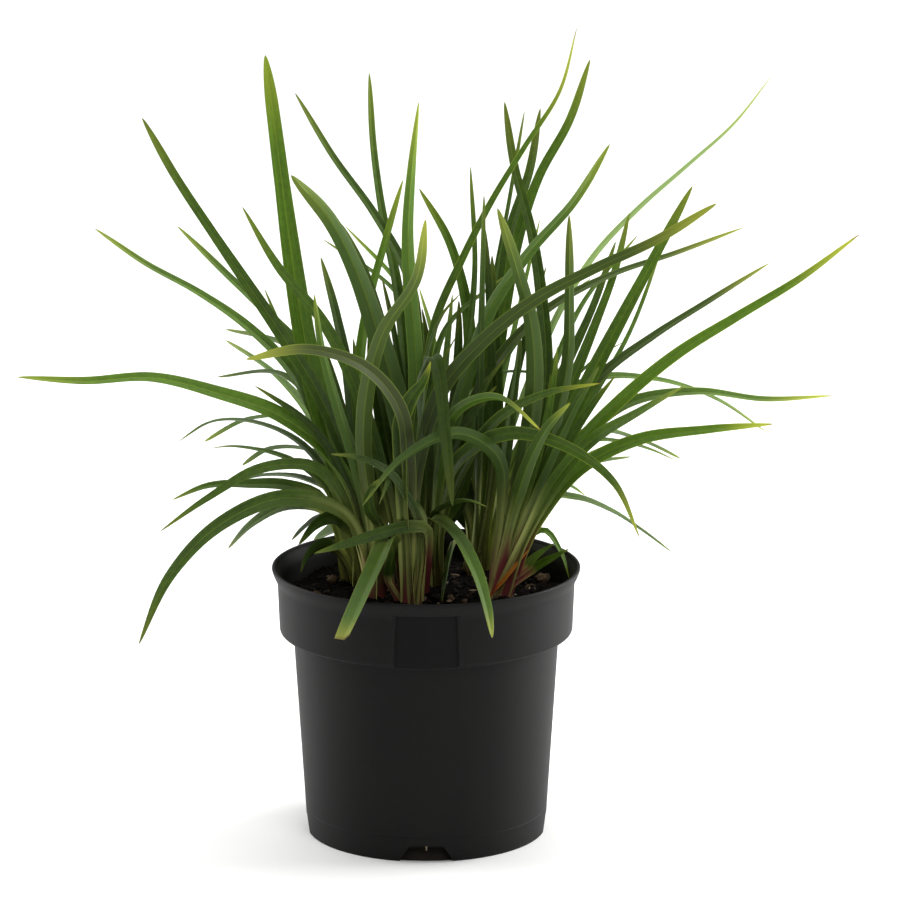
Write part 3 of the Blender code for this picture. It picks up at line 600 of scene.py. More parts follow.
@dataclass
class LeafReader:
    """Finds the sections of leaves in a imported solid. A leaf there is a row of four-cornered rings.

    Each ring has two margins, a top and a keel, and the row ends in one sharp corner or in a cut-off ring.
    """

    fold_share: float = 0.16
    apex_angle: float = 35.0
    most_thickness: float = 1.7
    least_sections: int = 3

    def apexes(self, bm: BMesh) -> list[BMVert]:
        """List the sharp corners where leaves end.

        Args:
            bm: a welded solid.

        Returns:
            The corners with four edges that all leave in one direction.
        """
        found = []
        for vert in bm.verts:
            if len(vert.link_edges) != 4 or len(vert.link_faces) != 4:
                continue
            ways = [(edge.other_vert(vert).co - vert.co).normalized() for edge in vert.link_edges]
            if min(first.dot(second) for first in ways for second in ways) > cos(radians(self.apex_angle)):
                found.append(vert)
        return found

    def rings(self, start: Iterable[BMVert]) -> list[list[BMVert]]:
        """Walk down a leaf from its end, ring by ring, as far as the rings have four corners.

        Args:
            start: the corners at the leaf's end.

        Returns:
            The corners of each ring, from the end down.
        """
        level = set(start)
        seen = set(level)
        found = [list(level)] if len(level) == 4 else []
        while True:
            level = {edge.other_vert(vert) for vert in level for edge in vert.link_edges} - seen
            if len(level) != 4:
                return found
            seen |= level
            found.append(list(level))

    def section(self, corners: Sequence[BMVert]) -> Ring | None:
        """Read one ring.

        Args:
            corners: its four corners in any order.

        Returns:
            The section, or nothing where the ring is too thick to be a blade's.
        """
        points = [vert.co.copy() for vert in corners]
        pairs = [(a, b) for a in range(4) for b in range(a + 1, 4)]
        a, b = max(pairs, key=lambda pair: (points[pair[0]] - points[pair[1]]).length)
        margins = points[a], points[b]
        inner = [points[place] for place in range(4) if place not in (a, b)]
        between = (margins[0] + margins[1]) / 2
        width = (margins[0] - margins[1]).length
        keel, top = sorted(inner, key=lambda point: -(point - between).length)
        if (keel - top).length > self.most_thickness:
            return None
        across = (margins[0] - margins[1]).normalized()
        up = square(between - keel, across)
        return Ring(between - self.fold_share * width * up, across, up, width)

    def sections(self, start: Iterable[BMVert]) -> list[Ring]:
        """Read the leaf's sections from its lowest one up to its end.

        Args:
            start: the corners at the leaf's end.

        Returns:
            The sections as far down as they are a blade's.
        """
        found: list[Ring] = []
        for corners in self.rings(start):
            ring = self.section(corners)
            if ring is None:
                break
            if found:
                ring.across = like(ring.across, found[-1].across)
            found.append(ring)
        return found[::-1]

    def leaves(self, bm: BMesh) -> list[tuple[list[Ring], Vector]]:
        """Read every pointed leaf of a solid, the one with the most sections first.

        Args:
            bm: a welded solid.

        Returns:
            The sections and the tip of each leaf.
        """
        found = [(self.sections([apex]), apex.co.copy()) for apex in self.apexes(bm)]
        found = [leaf for leaf in found if len(leaf[0]) >= self.least_sections]
        return sorted(found, key=lambda leaf: -len(leaf[0]))


@dataclass
class StrapLeaf:
    """A whole leaf: a sheath that clasps the shoot at its foot and opens into a keeled blade."""

    sections: list[Ring]
    tip: Vector | None
    foot: Vector
    heart: Vector
    rank: float
    tone: tuple[float, float, float, float]
    seed: int
    width_share: float = 1.0
    point: float = 30.0
    ring_step: float = 3.2
    end_crowding: float = 0.25
    columns: tuple[float, ...] = (0.0, 0.16, 0.5, 0.84, 1.0)
    blade_thickness: float = 0.62
    sheath_thickness: float = 0.9
    margin_thickness: float = 0.22
    keel_height: float = 0.3
    root_depth: float = 6.5
    foot_width: float = 7.0
    clasp_angle: float = radians(82.0)
    clasp_radius: Point = (1.6, 5.2)
    clasp_length: float = 0.85
    shut_angle: float = radians(46.0)
    open_angle: float = radians(21.0)
    base_width_share: float = 0.84
    swell_share: float = 0.7
    taper_share: float = 0.45
    taper_power: float = 1.6
    point_start_power: float = 9.0
    point_power: float = 0.6
    cut_narrowing: float = 0.25
    crowding_power: float = 3.5
    cup_power: float = 1.12
    margin_power: float = 2.5
    thin_under: float = 2.5
    keel_under: float = 5.0
    keel_reach: float = 0.13
    wave_depth: float = 0.02
    wave_pace: float = 9.0

    def __post_init__(self) -> None:
        """Lay the leaf's middle line and its directions from the foot to the tip."""
        random = Random(self.seed)
        first = self.sections[0]
        start = first.middle
        lean = Vector((start.x - self.heart.x, start.y - self.heart.y, 0.0))
        if lean.length <= 1.0:
            lean = Vector((cos(self.seed), sin(self.seed), 0.0))
        self.outward = lean.normalized()
        self.radius = self.clasp_radius[0] + self.rank * (self.clasp_radius[1] - self.clasp_radius[0])
        base = self.foot + 0.8 * self.radius * self.outward
        rise = ((start - base).normalized() + Vector((0.0, 0.0, 1.0))).normalized()
        points = [base - self.root_depth * rise, base]
        points += [ring.middle for ring in self.sections]
        if self.tip:
            points.append(self.tip)
        knots = [0.0]
        for before, after in zip(points, points[1:]):
            knots.append(knots[-1] + (after - before).length)
        self.line = Spline(knots, points)
        self.start, self.length = knots[2], knots[-1]
        blade_knots = knots[2:2 + len(self.sections)]
        acrosses = [ring.across for ring in self.sections]
        if acrosses[0].cross(self.line.direction(self.start)).dot(first.up) < 0:
            acrosses = [-across for across in acrosses]
        self.turns = Spline(blade_knots, acrosses)
        if self.tip:
            self.turns.knots[-1] = self.length
        shares = [(knot - self.start) / (self.length - self.start) for knot in blade_knots]
        widest = max(ring.width / self.packed_shape(share) for ring, share in zip(self.sections, shares)
                     if share < 0.9)
        self.width = self.width_share * widest / cos(self.open_angle)
        self.wave = random.uniform(0.0, tau), random.uniform(0.6, 1.2)

    def taper(self, share: float) -> float:
        """Return the blade's width without its point, as a share of the greatest width.

        Args:
            share: the place along the blade, from 0 to 1.

        Returns:
            A share of the greatest width.
        """
        if not self.tip:
            return 1.0 - self.cut_narrowing * share**3
        base = self.base_width_share
        swell = base + (1.0 - base) * sin(pi * min(1.0, share / self.swell_share))
        return swell * (1.0 - self.taper_share * share**self.taper_power)

    def packed_shape(self, share: float) -> float:
        """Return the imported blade's width at a share of its length, as a share of the greatest width.

        Args:
            share: the place along the blade, from 0 to 1.

        Returns:
            A share of the greatest width.
        """
        if not self.tip:
            return self.taper(share)
        return self.taper(share) * (1.0 - share**self.point_start_power) ** self.point_power

    def drawn_width(self, distance: float) -> float:
        """Return the width at a distance from the root: the taper, with a rounded point of its own length.

        Args:
            distance: how far along the leaf.

        Returns:
            The full width in millimetres.
        """
        if distance < self.start:
            base = self.width * self.base_width_share
            return base + (1.0 - distance / self.start) * (min(self.foot_width, base) - base)
        share = (distance - self.start) / (self.length - self.start)
        phase, pace = self.wave
        wave = 1.0 + self.wave_depth * sin(phase + self.wave_pace * pace * share)
        width = self.width * self.taper(share) * wave
        if not self.tip:
            return width
        left = min(1.0, max(0.0, self.length - distance) / self.point)
        return width * (1.0 - (1.0 - left) ** 2) ** self.point_power

    def across(self, distance: float, heading: Vector) -> Vector:
        """Return the direction across the leaf, square to its heading.

        Args:
            distance: how far along the leaf.
            heading: the leaf's direction there.

        Returns:
            A unit vector, which turns from the clasping foot to the open blade.
        """
        open_way = square(self.turns.at(max(distance, self.start)), heading)
        if distance >= self.start:
            return open_way
        clasped = heading.cross(square(-self.outward, heading)).normalized()
        angle = atan2(clasped.cross(open_way).dot(heading), clasped.dot(open_way))
        if abs(angle) > pi / 2:
            angle -= copysign(pi, angle)
            clasped = -clasped
        share = ease(distance / self.start)
        return Matrix.Rotation(angle * share, 3, heading) @ clasped

    def half_section(self, u: float, distance: float, width: float) -> Point:
        """Return a place on the half section, sideways and up from the midrib.

        Args:
            u: 0 at the midrib and 1 at the margin.
            distance: how far along the leaf.
            width: the full width there.

        Returns:
            Sideways and upward offsets.
        """
        spread = ease((distance - 0.5 * self.start) / (0.5 * self.start + 0.3 * (self.length - self.start)))
        angle = self.shut_angle + spread * (self.open_angle - self.shut_angle)
        side, rise = 0.5 * width * u * cos(angle), 0.5 * width * u**self.cup_power * sin(angle)
        clasp = 1.0 - ease(distance / (self.clasp_length * self.start))
        if clasp > 0.0:
            wrap = self.clasp_angle * u
            side += clasp * (self.radius * sin(wrap) - side)
            rise += clasp * (self.radius * (1.0 - cos(wrap)) - rise)
        return side, rise

    def strip(self, low: float = 0.0, high: float | None = None) -> BMesh:
        """Make the part of the leaf between two distances, or all of it, as one closed strap.

        Args:
            low: where it starts.
            high: where it ends, the tip if none is given.

        Returns:
            A bmesh in millimetres, with the attributes that the leaf material reads.
        """
        high = high or self.length
        bm = bmesh.new()
        leaf_layer = bm.verts.layers.float_color.new("leaf")
        tone_layer = bm.verts.layers.float_color.new("tone")
        places = [-u for u in self.columns[:0:-1]] + list(self.columns)
        loop = [(u, 1.0) for u in places] + [(u, 0.0) for u in places[-2:0:-1]] + [(places[0], 1.0)]
        steps = max(3, round((high - low) / self.ring_step))
        columns = len(loop) - 1
        crowding = self.end_crowding if self.tip and high >= self.length else 0.0
        bmesh.ops.create_grid(bm, x_segments=columns, y_segments=steps, size=1.0)
        rows: dict[int, tuple[Vector, Vector, Vector, float, float, float]] = {}
        for vert in bm.verts:
            row = round((vert.co.y + 1.0) / 2.0 * steps)
            u, side = loop[round((vert.co.x + 1.0) / 2.0 * columns)]
            if row not in rows:
                part = row / steps
                part += crowding * (part - part**self.crowding_power)
                rows[row] = self.frame_at(low + (high - low) * part)
            middle, across, up, width, thick, distance = rows[row]
            lateral, rise = self.half_section(abs(u), distance, width)
            near, near_rise = self.half_section(abs(u) + 0.02, distance, width)
            slope = Vector((near - lateral, near_rise - rise))
            slope = slope.normalized() if slope.length > 1e-6 and abs(u) > 1e-6 else Vector((1.0, 0.0))
            half = 0.5 * (thick + abs(u) ** self.margin_power * (self.margin_thickness - thick))
            half *= min(1.0, width / self.thin_under)
            if side < 0.5:
                keel = self.keel_height * min(1.0, width / self.keel_under) * exp(-(u / self.keel_reach) ** 2)
                half = -half - keel
            at_margin = abs(u) > 0.999
            if at_margin:
                half = 0.0
            lateral = copysign(lateral - slope.y * half, u) if abs(u) > 1e-6 else 0.0
            vert.co = middle + across * lateral + up * (rise + slope.x * half)
            share = max(0.0, (distance - self.start) / (self.length - self.start))
            vert[leaf_layer] = (0.5 + 0.5 * u, share, distance / DECIMETRE, 0.5 if at_margin else side)
            vert[tone_layer] = self.tone
        bmesh.ops.remove_doubles(bm, verts=bm.verts, dist=0.004)
        rim = [edge for edge in bm.edges if edge.is_boundary]
        if rim:
            bmesh.ops.holes_fill(bm, edges=rim, sides=0)
        return bm

    def frame_at(self, distance: float) -> tuple[Vector, Vector, Vector, float, float, float]:
        """Return the midrib, the directions across and up, the width, the thickness and the distance.

        Args:
            distance: how far along the leaf.

        Returns:
            The six values in that order.
        """
        heading = self.line.direction(distance)
        across = self.across(distance, heading)
        up = across.cross(heading)
        open_share = ease(3.0 * max(0.0, distance - self.start) / (self.length - self.start))
        thick = self.sheath_thickness + open_share * (self.blade_thickness - self.sheath_thickness)
        return self.line.at(distance), across, up, self.drawn_width(distance), thick, distance


@dataclass
class Plant:
    """The flax lily: six shoots with their leaves."""

    mix_height: float = 110.0
    inner_leaves: tuple[int, ...] = (3, 4, 6, 4, 6, 3)
    redness: tuple[float, ...] = (1.6, 1.7, 0.8, 1.9, 1.0, 0.5)
    foot_shift: Point = (-3.2, -0.8)
    leaning_shoot: int = 4
    tone_spread: float = 0.06
    red_spread: Point = (0.6, 1.2)
    tall: float = 215.0
    right_edge: Point = (50.0, 145.0)
    inner_weight: Point = (0.35, 0.65)
    inner_reach: float = 0.8
    inner_width: float = 0.7
    young_turn: float = 0.5
    inner_length: Point = (60.0, 115.0)
    inner_steps: int = 6
    reader: LeafReader = field(default_factory=LeafReader)

    def foot(self, bm: BMesh) -> Vector:
        """Find the point where a shoot leaves the mix, from the lowest corners of its solid.

        Args:
            bm: the shoot's welded solid.

        Returns:
            The point, at the height of the mix.
        """
        low = min(vert.co.z for vert in bm.verts)
        corners = [vert.co for vert in bm.verts if vert.co.z < low + 0.3]
        middle = sum(corners, Vector()) / len(corners)
        return Vector((middle.x, middle.y, self.mix_height))

    def small_look(self, tip: Vector, random: Random) -> Look:
        """Choose a small leaf's look: fresh low down at the right edge, otherwise by its height.

        Args:
            tip: the leaf's tip.
            random: the shoot's source of draws.

        Returns:
            The look.
        """
        if tip.x > self.right_edge[0] and tip.z < self.right_edge[1]:
            return Look(Tone.FRESH, 1.1, 16.0)
        width, point = (0.85, 26.0) if tip.z > self.tall else (1.45, 14.0)
        return Look(random.choice((Tone.DEEP, Tone.MID, Tone.MID, Tone.GREY)), width, point)

    def face_forwards(self, rings: list[Ring], tip: Vector | None, look: Look) -> None:
        """Turn a blade's sections about its own run towards the front, and its rising ones on edge.

        Args:
            rings: the sections, which are changed.
            tip: the blade's tip, if it has one.
            look: how much of the way they turn.
        """
        middles = [ring.middle for ring in rings] + ([tip] if tip else [])
        for index, ring in enumerate(rings):
            heading = (middles[min(index + 1, len(middles) - 1)] - middles[max(index - 1, 0)]).normalized()
            turns = [(Vector((0.0, -1.0, 0.2)), look.flat)]
            if look.edge and heading.z > 0.0:
                turns.append((Vector((1.0, 0.0, 0.0)), look.edge))
            for way, share in turns:
                aim = like(heading.cross(way).normalized(), ring.across)
                ring.across = ring.across.lerp(aim, share).normalized()

    def inner_leaf(self, pair: tuple[StrapLeaf, StrapLeaf], foot: Vector, heart: Vector,
                   seed: int) -> StrapLeaf:
        """Lay a young leaf in the fan between two grown ones.

        Args:
            pair: the grown leaves on both sides.
            foot: the shoot's foot.
            heart: the middle of the fan where its blades start.
            seed: the seed of its length and tone.

        Returns:
            The young leaf.
        """
        random = Random(seed)
        weight = random.uniform(*self.inner_weight)
        mean = sum(leaf.length - leaf.start for leaf in pair) / 2
        reach = min(self.inner_reach, random.uniform(*self.inner_length) / mean)
        rings: list[Ring] = []
        for step in range(self.inner_steps + 1):
            part = step / self.inner_steps
            middles, acrosses = [], []
            for leaf in pair:
                distance = leaf.start + (leaf.length - leaf.start) * reach * part
                middles.append(leaf.line.at(distance))
                acrosses.append(leaf.across(distance, leaf.line.direction(distance)))
            way = rings[-1].across if rings else acrosses[0]
            acrosses = [like(across, way) for across in acrosses]
            middle = middles[0].lerp(middles[1], weight)
            across = acrosses[0].lerp(acrosses[1], weight).normalized()
            up = Vector((0.0, -1.0, 0.3)).normalized()
            width = self.inner_width * min(leaf.width for leaf in pair) * pair[0].packed_shape(0.99 * part)
            rings.append(Ring(middle, across, up, width))
        # A lightness below one paints the shade deep in the plant on this young leaf.
        tone = (random.uniform(0.05, 0.4), random.uniform(0.7, 0.95), 0.3, random.uniform(0.2, 0.9))
        return StrapLeaf(rings[:-1], rings[-1].middle, foot, heart, random.uniform(0.1, 0.6), tone, seed,
                         point=24.0)

    def young_leaf(self, young: YoungLeaf, foot: Vector, heart: Vector, seed: int) -> StrapLeaf:
        """Lay a young leaf through its given points.

        Args:
            young: the leaf's width, middle line and tip colour.
            foot: the shoot's foot.
            heart: the middle of the fan where its blades start.
            seed: the seed of its turn and tone.

        Returns:
            The young leaf.
        """
        random = Random(seed)
        places = [Vector(point) for point in young.points]
        turn = random.uniform(-self.young_turn, self.young_turn)
        rings = []
        for index, place in enumerate(places[:-1]):
            heading = (places[index + 1] - place).normalized()
            across = square(Vector((cos(turn), sin(turn), 0.0)), heading)
            width = young.width * StrapLeaf.base_width_share if index == 0 else 0.0
            rings.append(Ring(place, across, across.cross(heading), width))
        # A lightness below one paints the shade deep in the plant on this young leaf.
        tone = (random.uniform(0.05, 0.3), random.uniform(0.6, 0.9), young.tipped, random.uniform(0.3, 0.9))
        return StrapLeaf(rings, places[-1], foot, heart, random.uniform(0.2, 0.7), tone, seed, point=26.0)

    def build_shoot(self, number: int, finish: Material, sheath_finish: Material) -> None:
        """Build one shoot with its blades.

        Args:
            number: the shoot's number, from 1.
            finish: the blades' material.
            sheath_finish: the material of the shoot's own piece.
        """
        random = Random(70 + number)
        name = f"shoot_{number}"
        body = packed(name)
        foot = self.foot(body)
        if number == self.leaning_shoot:
            foot += Vector((*self.foot_shift, 0.0))
        named = sorted(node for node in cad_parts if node.startswith(name + "_leaf_"))
        found: list[tuple[str, list[Ring], Vector | None]] = []
        for node in named:
            bm = packed(node)
            pointed = self.reader.leaves(bm)
            if pointed:
                found.append((node, *pointed[0]))
            else:
                cut_end = sorted(bm.verts, key=lambda vert: (vert.co - foot).length)[-4:]
                found.append((node, self.reader.sections(cut_end), None))
            bm.free()
        found += [("", rings, tip) for rings, tip in self.reader.leaves(body)]
        body.free()
        heart = Vector((median(rings[0].middle.x for _, rings, _ in found),
                        median(rings[0].middle.y for _, rings, _ in found), 0.0))
        leans = [hypot(rings[0].middle.x - heart.x, rings[0].middle.y - heart.y) for _, rings, _ in found]
        order = sorted(range(len(found)), key=lambda index: leans[index])
        joined = bmesh.new()
        grown: list[StrapLeaf] = []
        for index, (node, rings, tip) in enumerate(found):
            rank = order.index(index) / max(1, len(found) - 1)
            if node:
                numbers = node.removeprefix("shoot_").replace("_leaf_", "_")
                look = LOOKS.get(numbers, Look(random.choice((Tone.DEEP, Tone.MID))))
            else:
                look = self.small_look(tip, random)
            yellow, light, tipped = look.tone.value
            spread = self.tone_spread
            tone = (yellow + random.uniform(-spread, spread), light + random.uniform(-spread, spread), tipped,
                    self.redness[number - 1] * random.uniform(*self.red_spread))
            self.face_forwards(rings, tip, look)
            own_foot = foot + Vector((0.0, look.back, 0.0))
            leaf = StrapLeaf(rings, tip, own_foot, heart, rank, tone, 100 * number + index, look.width,
                             look.point)
            if node:
                grown.append(leaf)
                blade = finished(leaf.strip(leaf.start), node.replace("shoot", "strap"), finish,
                                 LEAF_SHARP)
                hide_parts(node)
                join(joined, leaf.strip(0.0, leaf.start))
            else:
                join(joined, leaf.strip())
        grown.sort(key=lambda leaf: (leaf.line.at(0.5 * leaf.length) - foot).x)
        pairs = list(zip(grown, grown[1:]))
        for index, pair in enumerate(random.sample(pairs, min(len(pairs), self.inner_leaves[number - 1]))):
            join(joined, self.inner_leaf(pair, foot, heart, 1000 * number + index).strip())
        for index, young in enumerate(YOUNG_LEAVES):
            if young.shoot == number:
                join(joined, self.young_leaf(young, foot, heart, 2000 + index).strip())
        piece = finished(joined, f"{name}_sheaths", sheath_finish, LEAF_SHARP)
        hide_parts(name)
        log.info("%s: %d blades, %d small leaves, %d faces in its sheaths", name, len(named),
                 len(found) - len(named), len(piece.data.polygons))

    def withered_sheath(self) -> None:
        """Lay the withered orange sheath against the front of the fourth shoot."""
        points = [Vector(place) for place in ((31.0, -8.0, 114.0), (34.6, -9.6, 118.6), (38.2, -10.2, 123.2),
                                              (41.8, -10.0, 127.6))]
        rings = [Ring(point, Vector((0.72, -0.1, -0.68)).normalized(), Vector((0.0, -1.0, 0.2)).normalized(),
                      1.4) for point in points]
        foot = Vector((28.0, -6.6, self.mix_height))
        leaf = StrapLeaf(rings, Vector((46.6, -9.2, 133.4)), foot, foot, 0.0, (0.5, 1.25, 0.6, 1.3), 9,
                         root_depth=3.0, foot_width=1.6, point=20.0, clasp_radius=(0.6, 1.0))
        finish = LeafCuticle(name="withered_leaf_sheath", deep="#94551a", bright="#cf8426", under="#a5641c",
                             margin="#dba548", tip="#c99a3c", cream="#c98230", crimson="#8a2a1e",
                             roughness=0.6)
        finished(leaf.strip(), "withered_sheath", finish.make(), LEAF_SHARP)

    def build(self) -> None:
        """Build all shoots."""
        blades = LeafCuticle().make()
        sheaths = LeafCuticle(name="clasping_leaf_sheath", roughness=0.48).make()
        for number in range(1, len(self.inner_leaves) + 1):
            self.build_shoot(number, blades, sheaths)
        self.withered_sheath()


def join(target: BMesh, part: BMesh) -> None:
    """Add one bmesh to another and free it.

    Args:
        target: the bmesh that grows.
        part: what is added, which is used up.
    """
    passing = mesh_of(part)
    target.from_mesh(passing)
    bpy.data.meshes.remove(passing)


@dataclass
class NurseryPot:
    """The moulded pot: a turned shell with its label panel, foot notches and drain holes."""

    height: float = 123.5
    lip_radius: float = 70.0
    collar_top_radius: float = 67.4
    collar_bottom_radius: float = 66.6
    collar_height: float = 30.2
    shoulder_drop: float = 1.3
    body_top_radius: float = 60.3
    base_radius: float = 54.6
    wall: float = 1.6
    floor: float = 2.0
    channel_height: float = 5.0
    channel_inner_radius: float = 39.0
    turn_steps: int = 192
    panel: tuple[float, float, float, float] = (-13.6, 13.8, 91.0, 117.2)
    panel_depth: float = 1.25
    panel_draft: float = 1.1
    panel_flare: float = 2.2
    panel_bead: float = 0.7
    notches: int = 4
    notch_foot_width: float = 25.6
    notch_top_width: float = 15.0
    notch_height: float = 7.6
    notch_reach: float = 9.0
    nib_size: Point3 = (1.1, 0.9, 2.8)
    apron_thickness: Point = (2.5, 1.5)
    holes: int = 8
    hole_radius: float = 3.6
    hole_ring_radius: float = 46.0
    witness_height: float = 11.3

    def profile(self) -> list[Point]:
        """Return the turned outline as radii and heights, from the inside floor over the lip to the foot.

        Returns:
            The corners of the outline.
        """
        top, wall, body, core = self.height, self.wall, self.body_top_radius, self.channel_inner_radius
        collar = top - self.collar_height
        shoulder = collar - self.shoulder_drop
        floor = self.channel_height + self.floor
        slope = (body - self.base_radius) / shoulder
        inner, bore = self.base_radius - wall, self.collar_top_radius - wall
        below = self.collar_bottom_radius
        outline = [(0.0, self.floor), (core - self.floor, self.floor), (core, floor),
                   (inner + slope * floor, floor), (body - wall, shoulder + wall),
                   (below - wall, collar + wall)]
        # Each rounded place is a run of small steps out and up from a corner of the plain outline.
        for radius, height, steps in (
                (bore, top, ((0.0, -8.0), (0.2, -6.2), (0.8, -4.4), (1.7, -2.8), (2.5, -1.4))),
                (self.lip_radius, top,
                 ((-1.5, -0.4), (-1.35, -0.1), (-1.1, 0.0), (-0.4, 0.0), (-0.15, -0.1), (-0.02, -0.35),
                  (0.0, -0.7), (-0.1, -1.3), (-0.45, -2.4), (-1.0, -3.8), (-1.6, -5.0), (-2.15, -6.2))),
                (self.collar_top_radius, top, ((0.08, -7.4), (0.0, -8.8))),
                (below, collar, ((0.03, 1.9), (-0.06, 1.3), (-0.3, 0.75), (-0.7, 0.32), (-1.2, 0.05))),
                (body, shoulder, ((0.9, 0.15), (0.3, -0.2), (0.0, -0.8))),
                (self.base_radius + slope * self.witness_height, self.witness_height,
                 ((0.02, 0.35), (-0.09, 0.1), (-0.09, -0.1), (0.0, -0.35))),
                (self.base_radius, 0.0, ((0.02, 0.4), (-0.35, 0.0)))):
            outline += [(radius + out, height + up) for out, up in steps]
        return outline + [(inner, 0.0), (inner, self.channel_height),
                          (core + self.floor, self.channel_height), (core, 0.0), (0.0, 0.0)]

    def collar_radius(self, height: float) -> float:
        """Return the radius of the collar's straight wall, drawn on beyond its ends.

        Args:
            height: the height above the pot's foot.

        Returns:
            The outer radius there.
        """
        low, high = self.height - self.collar_height + 1.9, self.height - 8.8
        share = (height - low) / (high - low)
        return self.collar_bottom_radius + share * (self.collar_top_radius - self.collar_bottom_radius)

    def panel_tool(self, depth: float, widening: float) -> BMesh:
        """Make the block that sinks the label panel, with drafted sides and a face that follows the collar.

        Args:
            depth: how deep it goes.
            widening: how far its sides lie outside the panel's.

        Returns:
            The block as a bmesh.
        """
        left, right, low, high = self.panel
        high += 0.5 * widening
        outside, bottom, top = self.lip_radius + 6.0, low - 4.0, high + 8.0
        inside = self.collar_radius(bottom) - depth, self.collar_radius(top) - depth
        made = []
        for foot, head, (foot_radius, head_radius) in ((low, high + 4.0, (outside, outside)),
                                                       (bottom, top, inside)):
            made.append(bmesh.new())
            bmesh.ops.create_cone(made[-1], cap_ends=True, segments=self.turn_steps, depth=head - foot,
                                  radius1=foot_radius, radius2=head_radius,
                                  matrix=Matrix.Translation((0.0, 0.0, (head + foot) / 2)))
        tool = cut(*made)
        for edge, sign in ((left - widening, -1.0), (right + widening, 1.0)):
            surface = Vector((edge, -(self.collar_top_radius**2 - edge**2) ** 0.5, high))
            down = Vector((sign * self.panel_flare, 0.0, low - high))
            inwards = Vector((-sign * self.panel_draft, depth, 0.0))
            normal = down.cross(inwards).normalized()
            slice_off(tool, surface, normal if normal.x * sign > 0.0 else -normal)
        slice_off(tool, Vector((0.0, 0.0, 0.0)), Vector((0.0, 1.0, 0.0)))
        slice_off(tool, Vector((0.0, 0.0, high)), Vector((0.0, 0.0, 1.0)))
        return tool

    def on_panel(self, place: Vector, normal: Vector) -> bool:
        """Tell whether a face of the pot is the sunk face of the label panel.

        Args:
            place: the middle of the face, in millimetres.
            normal: the way the face looks.

        Returns:
            Whether it is.
        """
        left, right, low, high = self.panel
        inside = left - 4.0 < place.x < right + 4.0 and low < place.z < high
        depth = (self.collar_radius(place.z) - hypot(place.x, place.y)) / self.panel_depth
        return inside and normal.y < -0.5 and 0.85 < depth < 1.15

    def notch_tool(self, angle: float) -> BMesh:
        """Make the bar that opens one notch.

        Args:
            angle: where the notch is, round the pot.

        Returns:
            The bar as a bmesh.
        """
        bm = bmesh.new()
        foot, top = self.notch_foot_width / 2, self.notch_top_width / 2
        start = self.base_radius - self.wall - 3.5
        corners = [(-foot, -1.0), (foot, -1.0), (top, self.notch_height), (-top, self.notch_height)]
        face = bm.faces.new([bm.verts.new((x, -start, z)) for x, z in corners])
        grown = bmesh.ops.extrude_face_region(bm, geom=[face])["geom"]
        moved = [item for item in grown if isinstance(item, BMVert)]
        bmesh.ops.translate(bm, vec=(0.0, -self.notch_reach, 0.0), verts=moved)
        bmesh.ops.rotate(bm, cent=(0, 0, 0), matrix=Matrix.Rotation(angle, 3, "Z"), verts=bm.verts)
        bmesh.ops.recalc_face_normals(bm, faces=bm.faces)
        return bm

    def apron(self) -> BMesh:
        """Turn the sloping ring that closes the foot behind the notches.

        Returns:
            The ring as a bmesh.
        """
        foot, top = self.base_radius - self.wall - 0.15, self.base_radius - self.wall - 3.0
        ceiling = self.channel_height - 0.05
        low, high = self.apron_thickness
        outline = ((foot, 0.1), (top, ceiling), (top - high, ceiling), (foot - low, 0.1))
        return turned(outline, self.turn_steps, closed=True)

    def nib(self, bm: BMesh, angle: float) -> None:
        """Add the small moulding nib that hangs in the middle of a notch.

        Args:
            bm: the bmesh that gets the nib.
            angle: where the notch is, round the pot.
        """
        place = (Matrix.Rotation(angle, 4, "Z")
                 @ Matrix.Translation((0.0, -self.base_radius + 0.5, self.notch_height - 0.9))
                 @ Matrix.Diagonal((*self.nib_size, 1.0)))
        made = bmesh.ops.create_cube(bm, size=1.0, matrix=place)
        low = [vert for vert in made["verts"] if vert.co.z < self.notch_height - 1.0]
        middle = sum((vert.co for vert in low), Vector()) / len(low)
        bmesh.ops.scale(bm, vec=(0.5, 0.5, 1.0), space=Matrix.Translation(-middle), verts=low)

    def build(self) -> None:
        """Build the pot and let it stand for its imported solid."""
        bm = cut(turned(self.profile(), self.turn_steps), self.panel_tool(self.panel_depth, 0.0))
        bm = cut(bm, self.panel_tool(0.4 * self.panel_bead, self.panel_bead))
        for index in range(self.notches):
            bm = cut(bm, self.notch_tool(tau * index / self.notches))
        drills = bmesh.new()
        for index in range(self.holes):
            place = (Matrix.Rotation(tau * (index + 0.5) / self.holes, 4, "Z")
                     @ Matrix.Translation((self.hole_ring_radius, 0.0, self.channel_height)))
            bmesh.ops.create_cone(drills, cap_ends=True, segments=32, radius1=self.hole_radius,
                                  radius2=self.hole_radius, depth=4 * self.floor, matrix=place)
        bm = cut(bm, drills)
        piece = finished(bm, "moulded_pot", MouldedPolypropylene().make(), POT_SHARP)
        nibs = bmesh.new()
        for index in range(self.notches):
            self.nib(nibs, tau * index / self.notches)
        whitened = MouldedPolypropylene(name="torn_gate_polypropylene", dark="#4a4235", light="#7d705a")
        finished(nibs, "gate_nibs", whitened.make())
        # The drain apron behind the notches gets a brownish grey, lighter than the pot.
        brownish_finish = MouldedPolypropylene(name="brownish_apron_polypropylene", dark="#14110e", light="#241e19",
                                     roughness=0.8)
        finished(self.apron(), "drain_apron", brownish_finish.make(), POT_SHARP)
        # The sunk label panel gets a darker colour and a little less sheen than the rest of the pot.
        sunk = MouldedPolypropylene(name="darker_panel_polypropylene", dark="#060606", light="#0b0b0b",
                                    roughness=0.55, shine=0.12)
        piece.data.materials.append(sunk.make())
        for face in piece.data.polygons:
            if self.on_panel(face.center / MM, face.normal):
                face.material_index = 1
        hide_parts("pot")
        log.info("moulded_pot: %d faces", len(piece.data.polygons))


